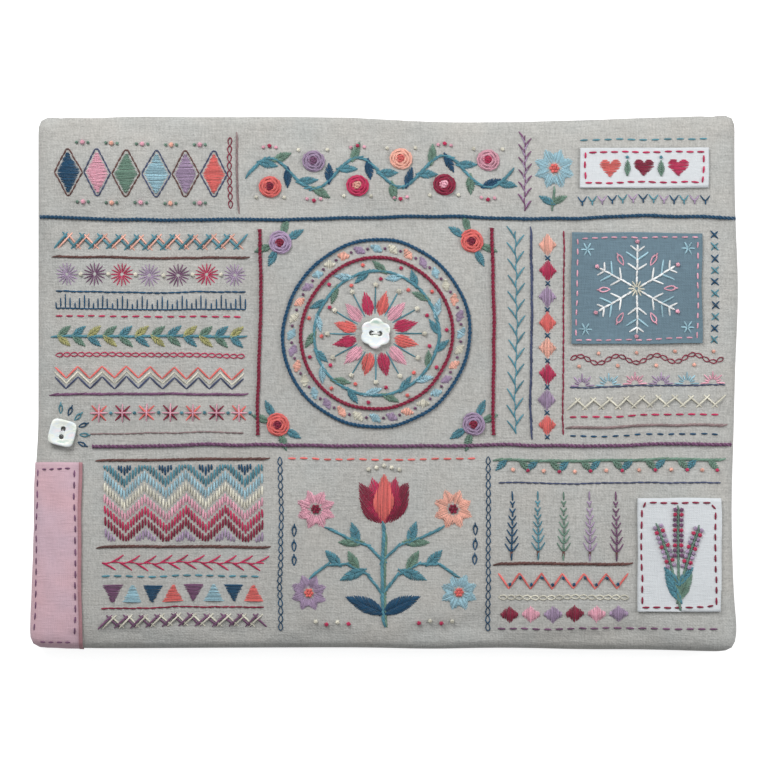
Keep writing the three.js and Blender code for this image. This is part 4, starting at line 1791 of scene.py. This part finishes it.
    def right_column(self) -> None:
        """Works upright bands, the blue patch's snow crystal, and bands under it."""
        n = self.needle
        n.feather(upright(52, 61, -20), 3.4, 3.3, F.TEAL, 0.75)
        n.stem(upright(58.2, -20, 61), F.NAVY, 0.65)
        lozenge = [(3.4, 0), (0, 4.4), (-3.4, 0), (0, -4.4)]
        for i in range(8):
            y = 55.6 - 10.2 * i
            fill = (F.PEACH, F.RASPBERRY, F.LILAC, F.CORAL)[i % 4]
            n.satin(turned(lozenge, 64.6, y, 0), 0.25, fill, 0.55)
            n.cross(64.6, y - 5.1, 1.9, F.PETROL, 0.6)
        n.back(upright(71, -20, 61), F.BURGUNDY, 2.8, 0.75)
        for i in range(10):
            n.cross(130.6, 59 - 4.6 * i, 2.8, F.TEAL if i % 2 else F.PETROL, 0.75)
        self.crystal(100, 38, 17.0)
        n.chain(wave(74, 134, 10.4, 1.8, 15), F.BURGUNDY, 3.1, 0.5)
        for i in range(8):
            x = 77.8 + 7.5 * i
            n.knot(x, 10.4 + (2.6 if i % 2 else -2.6), F.PEACH, 1.5)
        for i in range(6):
            x = 79 + 10.2 * i
            for j in range(9):
                turn = j / 16
                a = spoke(x, 0.2, 1.5, turn)
                b = spoke(x, 0.2, 4.8 if j % 2 == 0 else 3.4, turn)
                n.stitch(a, b, (F.LILAC, F.SKY, F.PINK)[i % 3], 0.7)
            n.back(level(x - 5.1, x + 5.1, -0.6), F.NAVY, 2.55, 0.7)
        n.herringbone(level(74, 134, -7.2), 2.5, 3.2, F.CREAM, 0.8)
        n.running(level(74, 134, -12.6), F.RASPBERRY, 2.8, 1.8, 0.85)
        n.stem(level(74, 134, -16.8), F.TAUPE, 0.7)
        n.running(level(74, 134, -20.4), F.PETROL, 2.4, 2.0, 0.8)
        n.piece("right_column_stitching")

    def crystal(self, x: float, y: float, reach: float) -> None:
        """A six-armed snow crystal.

        Args:
            x: its middle.
            y: its middle.
            reach: length of an arm.
        """
        n = self.needle
        for i in range(6):
            turn = i / 6 + 0.25
            n.back([spoke(x, y, 2.2, turn), spoke(x, y, reach, turn)], F.WHITE, 2.6, 0.9)
            for at, size in ((0.42, 4.6), (0.66, 5.4), (0.86, 3.4)):
                fork = spoke(x, y, reach * at, turn)
                for side in (0.15, -0.15):
                    n.stitch(fork, spoke(*fork, size, turn + side), F.WHITE if at != 0.66 else F.SKY, 0.8)
            n.knot(*spoke(x, y, reach + 1.4, turn), F.PINK, 1.7)
            between = turn + 1 / 12
            n.daisy(*spoke(x, y, reach * 0.62, between), between, 4.4, F.PINK, 0.6)
        n.star(x, y, 3.2, 12, F.CREAM, 0.6, 0.6)
        for sx in (-1, 1):
            for sy in (-1, 1):
                n.star(x + sx * 20.0, y + sy * 15.6, 2.6, 6, F.SKY, 0.7, 0.3)

    def low_left(self) -> None:
        """Works a flame-stitch block, and bands under it."""
        n = self.needle
        fade = (F.BURGUNDY, F.RASPBERRY, F.PINK, F.CREAM, F.SKY, F.TEAL, F.PETROL, F.LILAC)
        columns = 56
        for i in range(columns):
            x = -111.5 + 62.5 * i / (columns - 1)
            lift = 7.5 * abs(((i / 14) % 1) * 2 - 1)
            for j in range(-3, 11):
                low = -64 + 4.6 * j + lift
                high = low + 3.4
                if high < -62.4 or low > -32.6:
                    continue
                a, b = max(low, -62.6), min(high, -32.4)
                if b - a > 0.8:
                    n.stitch((x, a), (x, b), fade[j % 8], 0.9, 0.15)
        n.stem(level(-113, -47.5, -30.2), F.BROWN, 0.7)
        n.stem(level(-113, -47.5, -64.8), F.BROWN, 0.7)
        n.feather(level(-48, -113, -71.2), 3.0, 3.3, F.RASPBERRY, 0.75)
        n.running(level(-113, -48, -76.6), F.TEAL, 2.8, 1.8, 0.85)
        triangle = [(-4.0, -3.4), (4.0, -3.4), (0, 3.8)]
        for i in range(8):
            x = -108.6 + 8.1 * i
            fill = (F.PLUM, F.SKY, F.PETROL, F.CORAL)[i % 4]
            n.satin(turned(triangle, x, -83.4, 0 if i % 2 else 0.5), 0.0, fill, 0.55)
        n.back(level(-113, -48, -89), F.BURGUNDY, 2.8, 0.75)
        n.herringbone(level(-113, -48, -94.2), 2.6, 3.3, F.PLUM, 0.8)
        n.herringbone(level(-111.4, -49.6, -94.2), 2.6, 3.3, F.CREAM, 0.7)
        n.piece("low_left_stitching")

    def low_middle(self) -> None:
        """Works a tall plant with one large flower, and branches to each side."""
        n = self.needle
        x = -0.5
        n.chain(upright(-41.5, -29, -98), F.PETROL)
        n.chain(upright(40.5, -29, -98), F.PETROL)
        n.stem(upright(x, -95, -56), F.TEAL, 0.95)
        n.stem(upright(x + 0.9, -95, -60), F.SAGE, 0.7)
        petal = drop(19, 9.6, 0.8)
        for floss, left, right in ((F.BURGUNDY, 0.335, 0.165), (F.RASPBERRY, 0.29, 0.21)):
            for turn in (left, right):
                n.satin(turned(petal, x, -55, turn), turn + 0.02, floss, 0.55, 0.3)
        n.satin(turned(drop(20.5, 8.4, 0.85), x, -55.4, 0.25), 0.25, F.CORAL, 0.52, 0.9)
        for i in range(5):
            n.knot(x - 6 + 3 * i, -33.4 + 1.6 * (1 - abs(i - 2) / 2), F.CREAM, 1.7)
        for side in (1, -1):
            def at(px: float, py: float) -> Point:
                """A place on this side of the plant."""
                return (x + side * px, py)

            def way(turn: float) -> float:
                """An angle, mirrored on the left."""
                return turn if side > 0 else 0.5 - turn

            n.stem([at(0, -84), at(6, -76), at(14, -71.5), at(22, -71.5), at(28, -76)], F.TEAL, 0.75)
            n.stem([at(0, -70), at(6, -64), at(14, -61), at(22, -57)], F.TEAL, 0.75)
            self.bloom(*at(29.5, -83), 7.6, F.SKY if side > 0 else F.LILAC, F.CORAL)
            self.bloom(*at(27, -49.5), 8.0, F.PEACH if side > 0 else F.PINK, F.BURGUNDY)
            n.leaf(*at(1, -91), way(0.07), 15, 6.2, F.PETROL)
            n.leaf(*at(8, -74.4), way(-0.06), 9.5, 4.2, F.TEAL)
            n.leaf(*at(10, -73.2), way(0.17), 8.0, 3.8, F.SAGE)
            n.leaf(*at(17.5, -71.4), way(0.13), 8.0, 3.8, F.TEAL)
            n.leaf(*at(9, -62.6), way(0.0), 9.0, 4.0, F.SAGE)
            n.leaf(*at(10, -62.4), way(0.2), 8.5, 3.8, F.TEAL)
            for k in range(4):
                y = -95.5 + (0.9 if k % 2 else 0)
                n.knot(*at(14 + 4.2 * k, y), (F.RASPBERRY, F.CREAM)[k % 2], 1.7)
            for k in range(3):
                n.daisy(*at(35.6, -60 - 6 * k), way(0.25), 4.0, F.PETROL, 0.6)
        n.running(level(-38, 37, -29.6), F.CORAL, 2.8, 1.9, 0.85)
        n.piece("low_middle_stitching")

    def low_right(self) -> None:
        """Works fern leaves, bands, and the sprig on the upright white patch."""
        n = self.needle
        n.stem(level(44.5, 134, -30.5), F.SAGE, 0.75)
        for i in range(14):
            x = 47.5 + 6.3 * i
            n.leaf(x, -31, -0.12 if i % 2 else -0.38, 5.6, 2.8, (F.TEAL, F.SAGE)[i % 2])
            n.knot(x + 3.1, -34.6, F.RASPBERRY if i % 2 else F.PEACH, 1.6)
        n.back(level(44.5, 134, -39.6), F.NAVY, 2.8, 0.75)
        greens = (F.PETROL, F.TEAL, F.SAGE, F.LILAC, F.PLUM)
        for i in range(5):
            x, base = 50 + 10.6 * i, -69.5
            for j in range(7):
                size = 4.6 * (1 - j / 9)
                n.fly(x, base + 3.0 + 3.1 * j, 0.25, size, greens[i], 0.8, 0.75)
            n.stitch((x, base + 23), (x, base + 26.5), greens[i], 0.75)
            n.stitch((x, base), (x, base + 4), F.BROWN, 1.0)
        n.stem(level(44.5, 97, -71.4), F.BROWN, 0.75)
        n.zigzag(level(44.5, 97, -78.2), 3.0, 4.4, F.CORAL, 0.85)
        for i in range(11):
            n.knot(49.2 + 4.4 * i, -78.2 + (1.3 if i % 2 else -1.3), F.PETROL, 1.4)
        n.chain(level(44.5, 97, -84.6), F.CREAM, 3.2, 0.55)
        lozenge = [(4.4, 0), (0, 3.4), (-4.4, 0), (0, -3.4)]
        for i in range(6):
            x = 49 + 8.9 * i
            n.satin(turned(lozenge, x, -91.4, 0, 0.95), 0.25, (F.BURGUNDY, F.PINK, F.LILAC)[i % 3], 0.55)
        n.running(level(44.5, 134, -97.2), F.PLUM, 2.8, 1.9, 0.85)
        self.sprig(117, -88, 38)
        n.piece("low_right_stitching")

    def sprig(self, x: float, y: float, tall: float) -> None:
        """Three flower spikes that rise from one foot.

        Args:
            x: their foot.
            y: their foot.
            tall: height of the tallest.
        """
        n = self.needle
        for lean, share, floss in ((0.0, 1.0, F.PLUM), (-8.0, 0.82, F.LILAC), (8.0, 0.8, F.LILAC)):
            path = [(x + lean * (t / 8) ** 1.5, y + tall * share * t / 8) for t in range(9)]
            n.stem(path, F.SAGE, 0.65, 3.4)
            for i, (px, py, dx, dy) in enumerate(measured(path, 2.0)):
                if i * 2.0 < tall * share * 0.5:
                    continue
                bud = floss if i % 3 else F.RASPBERRY
                for side in (1.3, -1.3):
                    n.knot(px - dy * side, py + dx * side, bud, 1.7)
        n.leaf(x, y + 3, 0.17, 11, 4.0, F.SAGE)
        n.leaf(x, y + 3, 0.33, 11, 4.0, F.TEAL)
        n.leaf(x - 0.5, y + 9, 0.36, 8, 3.2, F.TEAL)
        n.leaf(x + 0.5, y + 9, 0.14, 8, 3.2, F.TEAL)

    def patches(self) -> None:
        """Works the running stitch that holds each patch, and the hearts on the white strip."""
        n = self.needle

        def box(left: float, low: float, right: float, high: float) -> Path:
            """A rectangle's outline."""
            return [(left, low), (right, low), (right, high), (left, high), (left, low)]

        n.running([(-138.2, -33.4), (-139.0, -70), (-139.4, -100)], F.PLUM, 2.6, 1.7, 0.75)
        n.running(upright(-123.4, -34.2, -101), F.PLUM, 2.6, 1.8, 0.75)
        n.running(level(-136.4, -123.8, -33.2), F.PLUM, 1.7, 1.4, 0.75)
        n.running(level(-136.8, -123.6, -102.6), F.PLUM, 1.7, 1.4, 0.75)
        n.running(box(76.2, 18.2, 123.8, 57.8), F.PINK, 2.2, 1.8, 0.7)
        n.running(box(79.4, 79.8, 126.6, 92.2), F.RASPBERRY, 2.7, 1.6, 0.85)
        n.running(box(102.4, -88.6, 131.6, -47.4), F.BURGUNDY, 2.7, 1.6, 0.85)
        for i, floss in enumerate((F.CORAL, F.BURGUNDY, F.RASPBERRY)):
            x = 89.5 + 13.5 * i
            n.satin(turned(heart(4.0), x, 86, 0), 0.0, floss, 0.5, 0.3)
            if i < 2:
                n.leaf(x + 6.75, 83.4, 0.25, 5.4, 2.6, F.SAGE)
                n.knot(x + 6.75, 90, F.TEAL, 1.3)
        n.piece("patch_stitching")


# Buttons


def flower_rim(angle: float) -> float:
    """The flower button's radius at an angle: six shallow petals."""
    return 5.3 + 0.95 * abs(math.cos(3 * (angle - math.pi / 2))) ** 1.15


def square_rim(angle: float) -> float:
    """The square button's radius at an angle: bowed sides and round corners."""
    power = 4.5
    return 5.25 / (abs(math.cos(angle)) ** power + abs(math.sin(angle)) ** power) ** (1 / power)


@dataclass
class Button:
    """A small two-hole shell button, dished, with its sewing thread, in millimetres.

    Attributes:
        name: the piece's name.
        place: its middle on the front.
        reach: the radius of its rim at an angle.
        turn: the way its holes lie, in turns.
        groove: whether an eye-shaped groove joins its holes.
        thickness: its thickness.
        hole: radius of a hole.
        spacing: from hole to hole.
        bed: how far from its middle it rests on the cloth.
        clear: its clearance from the cloth.
    """

    name: str
    place: Point
    reach: Callable[[float], float]
    turn: float
    groove: bool
    thickness: float = 1.9
    hole: float = 1.0
    spacing: float = 3.3
    bed: float = 4.5
    clear: float = 0.25

    def build(self, ground: Ground, finish: Material) -> None:
        """Makes the button on the cloth.

        Args:
            ground: the cloth that it is sewn to.
            finish: the shell's material.
        """
        x, y = self.place
        near = (-self.bed, 0, self.bed)
        seat = max(ground.height(x + dx, y + dy) for dx in near for dy in near) + self.clear
        top = seat + self.thickness
        shape = bmesh.new()
        bmesh.ops.create_circle(shape, cap_ends=False, radius=1.0, segments=72)
        section = [
            (0.55, seat), (0.86, seat), (0.97, seat + 0.35), (1.0, seat + 0.85),
            (0.985, top - 0.32), (0.93, top - 0.04), (0.86, top + 0.02), (0.78, top - 0.1),
            (0.66, top - 0.34), (0.5, top - 0.46), (0.25, top - 0.5),
        ]
        self.ring(shape.verts, *section[0])
        border = list(shape.edges)
        for share, height in section[1:]:
            made = bmesh.ops.extrude_edge_only(shape, edges=border)["geom"]
            points = {item for item in made if isinstance(item, BMVert)}
            border = [e for e in made if isinstance(e, BMEdge) and points.issuperset(e.verts)]
            self.ring(points, share, height)
        bmesh.ops.holes_fill(shape, edges=[e for e in shape.edges if e.is_boundary], sides=0)
        bmesh.ops.recalc_face_normals(shape, faces=shape.faces)
        put_in_order(shape, lambda vertex: vertex.co[:])
        piece = made_object(self.name, mesh_of(shape), finish)
        self.drill(piece, seat, top)
        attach(piece, "pouch")
        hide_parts(self.name.replace("_shell", ""))

    def ring(self, verts: Iterable[BMVert], share: float, height: float) -> None:
        """Sets a ring of the section, softer in outline nearer the middle.

        Args:
            verts: the ring's points.
            share: its radius, as a share of the rim's.
            height: its height.
        """
        samples = 24
        even = sum(self.reach(TURN * k / samples) for k in range(samples)) / samples
        for vertex in verts:
            angle = math.atan2(vertex.co.y, vertex.co.x)
            rim = self.reach(angle - self.turn * TURN)
            radius = share * (even + (rim - even) * share ** 2) * MM
            vertex.co.x = math.cos(angle) * radius
            vertex.co.y = math.sin(angle) * radius
            vertex.co.z = height * MM

    def drill(self, piece: Object, seat: float, top: float) -> None:
        """Cuts the holes and the groove, and sets the button in its place.

        Args:
            piece: the button.
            seat: height of its underside.
            top: height of its rim.
        """
        shape = bmesh.new()
        angle = self.turn * TURN
        along = Vector((math.cos(angle), math.sin(angle), 0)) * (self.spacing / 2 * MM)
        radius = self.hole * MM
        for side in (1, -1):
            made = bmesh.ops.create_cone(
                shape, cap_ends=True, segments=20, radius1=radius, radius2=radius, depth=0.006
            )
            middle = along * side + Vector((0, 0, (seat + top) / 2 * MM))
            bmesh.ops.translate(shape, verts=made["verts"], vec=middle)
        if self.groove:
            made = bmesh.ops.create_uvsphere(shape, u_segments=20, v_segments=10, radius=1.0)
            bmesh.ops.scale(shape, verts=made["verts"], vec=(2.6 * MM, 0.95 * MM, 0.75 * MM))
            bmesh.ops.rotate(shape, verts=made["verts"], matrix=Matrix.Rotation(angle, 3, "Z"))
            bmesh.ops.translate(shape, verts=made["verts"], vec=(0, 0, (top - 0.5) * MM))
        tool = made_object("drill", mesh_of(shape))
        cut = piece.modifiers.new("holes", "BOOLEAN")
        cut.operation = "DIFFERENCE"
        cut.solver = "EXACT"
        cut.use_self = True
        cut.object = tool
        baked(piece)
        bpy.data.objects.remove(tool)
        for vertex in piece.data.vertices:
            vertex.co.x += self.place[0] * MM
            vertex.co.y += self.place[1] * MM

    def sew(self, needle: Needle) -> None:
        """Sews the button down with a few passes of thread.

        Args:
            needle: what lays the thread.
        """
        x, y = self.place
        sunk = 1.0 if self.groove else 0.4
        top = needle.ground.height(x, y) + self.clear + self.thickness - sunk
        steps = 8
        for shift in (-0.24, 0.24):
            strand = []
            for i in range(steps + 1):
                t = i / steps * 2 - 1
                along, aside = t * (self.spacing / 2 + 0.1), shift * (0.6 + 0.4 * abs(t))
                px, py = turned([(along, aside)], x, y, self.turn)[0]
                strand.append((px, py, top + 0.1 - 1.7 * abs(t) ** 6, 0.2))
            needle.strands[Floss.WHITE].append(strand)
        needle.piece(self.name.replace("shell", "sewing"), self.name.replace("_shell", "_thread"))


# Zip


@dataclass
class Zip:
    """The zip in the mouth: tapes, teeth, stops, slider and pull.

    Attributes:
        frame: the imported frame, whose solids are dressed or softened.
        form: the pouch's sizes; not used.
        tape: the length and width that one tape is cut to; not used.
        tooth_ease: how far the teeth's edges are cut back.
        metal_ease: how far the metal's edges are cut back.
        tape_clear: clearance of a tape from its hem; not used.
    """

    frame: dict[str, Any]
    form: Form
    tape: Point = (0.2473, 0.0135)
    tooth_ease: float = 0.00016
    metal_ease: float = 0.00022
    tape_clear: float = 0.0002

    def build(self) -> list[Object]:
        """Makes each piece.

        Returns:
            The pieces.
        """
        metal = Metal("zip_plating", tint(188, 184, 176)).material()
        plastic = Moulded("zip_moulding", tint(161, 157, 148)).material()
        tape = Cloth(
            "zip_weave", tint(180, 177, 167), pitch=0.0005, slub=0.3, mottle=0.2, relief=0.5
        ).material()
        pieces = []
        for side in Half:
            half = side.value
            teeth = self.softened(f"zip_teeth_{half}", f"zip_row_{half}", plastic, self.tooth_ease, 1)
            woven = self.softened(f"zip_tape_{half}", f"zip_web_{half}", tape, 0.0, 0)
            for piece in (teeth, woven):
                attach(piece, "pouch")
                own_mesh(piece)
            pieces += [teeth, woven]
        for node, name, body in (
            ("zip_top_stop_front", "zip_end_front", "pouch"),
            ("zip_top_stop_back", "zip_end_back", "pouch"),
            ("zip_bottom_stop", "zip_end_low", "pouch"),
            ("zip_slider", "zip_runner", "slider"),
            ("zip_pull", "zip_tab", "pull"),
        ):
            piece = self.softened(node, name, metal, self.metal_ease, 2)
            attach(piece, body)
            pieces.append(piece)
        return pieces

    def softened(self, node: str, name: str, finish: Material, ease: float, steps: int) -> Object:
        """A copy of a solid with its sharp edges eased.

        Args:
            node: the solid.
            name: the piece's name.
            finish: its material.
            ease: how far its edges are cut back, or 0 to leave them.
            steps: segments of the easing.

        Returns:
            The piece.
        """
        flat_within, sharp_from = 0.02, 0.6  # angles between faces, in radians
        shape = bmesh.new()
        shape.from_mesh(self.frame["nodes"][node].data)
        bmesh.ops.remove_doubles(shape, verts=shape.verts, dist=1e-6)
        bmesh.ops.dissolve_limit(shape, angle_limit=flat_within, verts=shape.verts, edges=shape.edges)
        if ease:
            joined = [e for e in shape.edges if len(e.link_faces) == 2]
            sharp = [e for e in joined if e.calc_face_angle(0.0) > sharp_from]
            bmesh.ops.bevel(
                shape, geom=sharp, offset=ease, offset_type="OFFSET", segments=steps, profile=0.5,
                affect="EDGES", material=-1, clamp_overlap=True,
            )
        spread(shape, lambda vertex: (vertex.co.x, vertex.co.y + vertex.co.z))
        piece = made_object(name, mesh_of(shape), finish)
        for face in piece.data.polygons:
            face.use_smooth = False
        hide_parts(node)
        return piece


# Stage


@dataclass(frozen=True)
class Lamp:
    """A square light that faces the pouch.

    Attributes:
        name: its name.
        place: where it hangs.
        size: its side.
        power: in watts.
    """

    name: str
    place: tuple[float, float, float]
    size: float
    power: float

    def hang(self) -> None:
        """Hangs the lamp."""
        lamp = bpy.data.lights.new(self.name, "AREA")
        lamp.energy = self.power
        lamp.size = self.size
        holder = placed(self.name, lamp)
        holder.location = self.place
        holder.rotation_euler = (-Vector(self.place)).to_track_quat("-Z", "Y").to_euler()


@dataclass(frozen=True)
class Stage:
    """The white floor, the light and the camera.

    Attributes:
        lamps: a window at the upper left, a weaker fill from the right and a faint glow from the left.
        daylight: strength of the even light from all round.
        floor_level: height of the floor, just clear of the pouch.
        floor_tone: how much light the floor throws back.
        floor_glow: what makes it white to the eye.
        eye_height: the camera's height.
        eye_aside: how far the camera is off the middle.
        pixels: width of the picture.
        pixel: what one pixel shows at the height of the seams.
    """

    lamps: tuple[Lamp, ...] = (
        Lamp("window", (-0.36, 0.66, 0.70), 0.5, 8.1),
        Lamp("fill", (0.55, 0.15, 0.40), 0.5, 2.6),
        Lamp("glow", (-0.5, -0.1, 0.13), 0.24, 0.1),
    )
    daylight: float = 0.3
    floor_level: float = -0.0004
    floor_tone: float = 0.6
    floor_glow: float = 0.8
    eye_height: float = 1.6
    eye_aside: float = -0.0004
    pixels: int = 768
    pixel: float = 0.0004

    def build(self) -> None:
        """Sets the stage."""
        self.floor()
        self.world()
        for lamp in self.lamps:
            lamp.hang()
        self.camera()

    def floor(self) -> None:
        """A white floor that keeps the pouch's shadow."""
        shape = bmesh.new()
        place = Matrix.Translation((0, 0, self.floor_level))
        bmesh.ops.create_grid(shape, x_segments=1, y_segments=1, size=4.0, matrix=place)
        graph = Graph("floor_white")
        ray = graph.node("ShaderNodeLightPath")
        seen = ray["Is Camera Ray"] + ray["Is Glossy Ray"] + ray["Is Transmission Ray"]
        white = (1.0, 1.0, 1.0, 1.0)
        glow = graph.node("ShaderNodeEmission", {}, {"Color": white, "Strength": self.floor_glow})
        graph.dress(Base_Color=shaded(white, self.floor_tone), Roughness=0.9, Specular_IOR_Level=0.1)
        plain = graph.shader["BSDF"]
        lit = graph.node("ShaderNodeAddShader", {}, {0: plain, 1: glow["Emission"]})
        shown = graph.node("ShaderNodeMixShader", {}, {0: seen, 1: plain, 2: lit["Shader"]})
        graph.feed(graph.end.node.inputs["Surface"], shown["Shader"])
        made_object("floor", mesh_of(shape), graph.material)

    def world(self) -> None:
        """Soft even daylight."""
        world = bpy.data.worlds.new("daylight")
        bpy.context.scene.world = world
        world.use_nodes = True
        back = world.node_tree.nodes["Background"]
        back.inputs["Color"].default_value = (0.97, 0.985, 1.0, 1.0)
        back.inputs["Strength"].default_value = self.daylight

    def camera(self) -> None:
        """A long lens straight above the front."""
        eye = bpy.data.cameras.new("eye")
        eye.sensor_width = 36.0
        eye.lens = eye.sensor_width * (self.eye_height - Form.seam) / (self.pixels * self.pixel)
        holder = placed("eye", eye)
        holder.location = (self.eye_aside, 0.0, self.eye_height)
        bpy.context.scene.camera = holder


# Making


def cut_layers(form: Form) -> list[Shell]:
    """Makes the pouch's layers, still as sheets.

    Args:
        form: the pouch's sizes.

    Returns:
        The layers, the front linen first.
    """
    linen = Cloth(
        "linen_grey", tint(176, 174, 169), pitch=0.00068, slub=0.64, fleck=1.8, bloom=tint(173, 174, 171)
    ).material()
    lining = Cloth("cotton_lining", tint(219, 177, 191), pitch=0.0004, slub=0.2).material()
    wool = Wool("wadding_wool", tint(250, 248, 238)).material()
    layers = [
        Shell("front_linen", "front_panel", form, linen, Half.FRONT, 0.0, 0.0008, 0.0036, True,
              push=1.4, ease=0.006),
        Shell("back_linen", "back_panel", form, linen, Half.BACK, 0.0, 0.0008, 0.0045, True),
    ]
    for side in Half:
        half = side.value
        layers += [
            Shell(f"{half}_pad", f"{half}_wadding", form, wool, side, 0.0011, 0.0016, 0.009, seam_stop=0.6),
            Shell(f"{half}_bag", f"{half}_lining", form, lining, side, 0.003, 0.0005, 0.008),
        ]
    for layer in layers:
        layer.build()
    return layers


def cut_patches(front: Object) -> list[Patch]:
    """Makes the patches, still as sheets.

    Args:
        front: the front linen, still a sheet.

    Returns:
        The patches.
    """
    pink = Cloth(
        "cotton_pink", tint(209, 172, 180), pitch=0.0004, slub=0.3, bloom=tint(199, 173, 185)
    ).material()
    # painted shade: the pink cotton darkened along the fold of its hem
    rose = Cloth("cotton_pink_shaded", tint(169, 125, 131), pitch=0.0004, slub=0.3).material()
    blue = Cloth("cotton_blue", tint(101, 123, 135), pitch=0.0005, slub=0.5, mottle=0.3).material()
    white = Cloth("cotton_white", tint(206, 210, 213), pitch=0.0004, slub=0.2, mottle=0.2).material()
    patches = [
        Patch("pink_cotton", "pink_patch", (-0.2, -0.2), (-0.1206, -0.031), (0.03, 0.086), pink,
              hems=("pink_hem",)),
        Patch("pink_hem", "pink_patch", (-0.1218, -0.2), (-0.1204, -0.031), None, rose, lift=0.0003),
        Patch("blue_cotton", "blue_patch", (0.074, 0.016), (0.126, 0.060), (0.052, 0.044), blue),
        Patch("white_tall_cotton", "white_tall_patch", (0.1005, -0.0905), (0.1335, -0.0455),
              (0.033, 0.045), white),
        Patch("white_strip_cotton", "white_strip_patch", (0.0775, 0.078), (0.1285, 0.094),
              (0.051, 0.016), white),
    ]
    for patch in patches:
        patch.build(front)
    return patches


def sew_buttons(needle: Needle) -> None:
    """Makes the buttons and sews them on.

    Args:
        needle: what lays their thread.
    """
    pearl = Pearl("pearl_shell").material()
    for button in (
        Button("flower_button_shell", FLOWER_BUTTON, flower_rim, -0.012, False),
        Button("square_button_shell", SQUARE_BUTTON, square_rim, 0.211, True),
    ):
        button.build(needle.ground, pearl)
        button.sew(needle)
        log.info("%s built", button.name)


def main() -> None:
    """Builds the pouch, piece by piece."""
    noise.seed_set(HAND)
    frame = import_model()
    bpy.context.scene.view_settings.view_transform = "Standard"
    Stage().build()
    form = Form()
    layers = cut_layers(form)
    front = layers[0].piece
    patches = cut_patches(front)
    ground = Ground(front, *(patch.piece for patch in patches))
    for layer in layers:
        layer.finish_off(None if layer.name.endswith("pad") else f"{layer.half.value}_pad")
        log.info("%s built", layer.name)
    for patch in patches:
        patch.finish_off()
        log.info("%s built", patch.name)
    needle = Needle(ground, HAND)
    Sampler(needle).build()
    sew_buttons(needle)
    for piece in Zip(frame, form).build():
        log.info("%s built", piece.name)


if __name__ == "__main__":
    main()
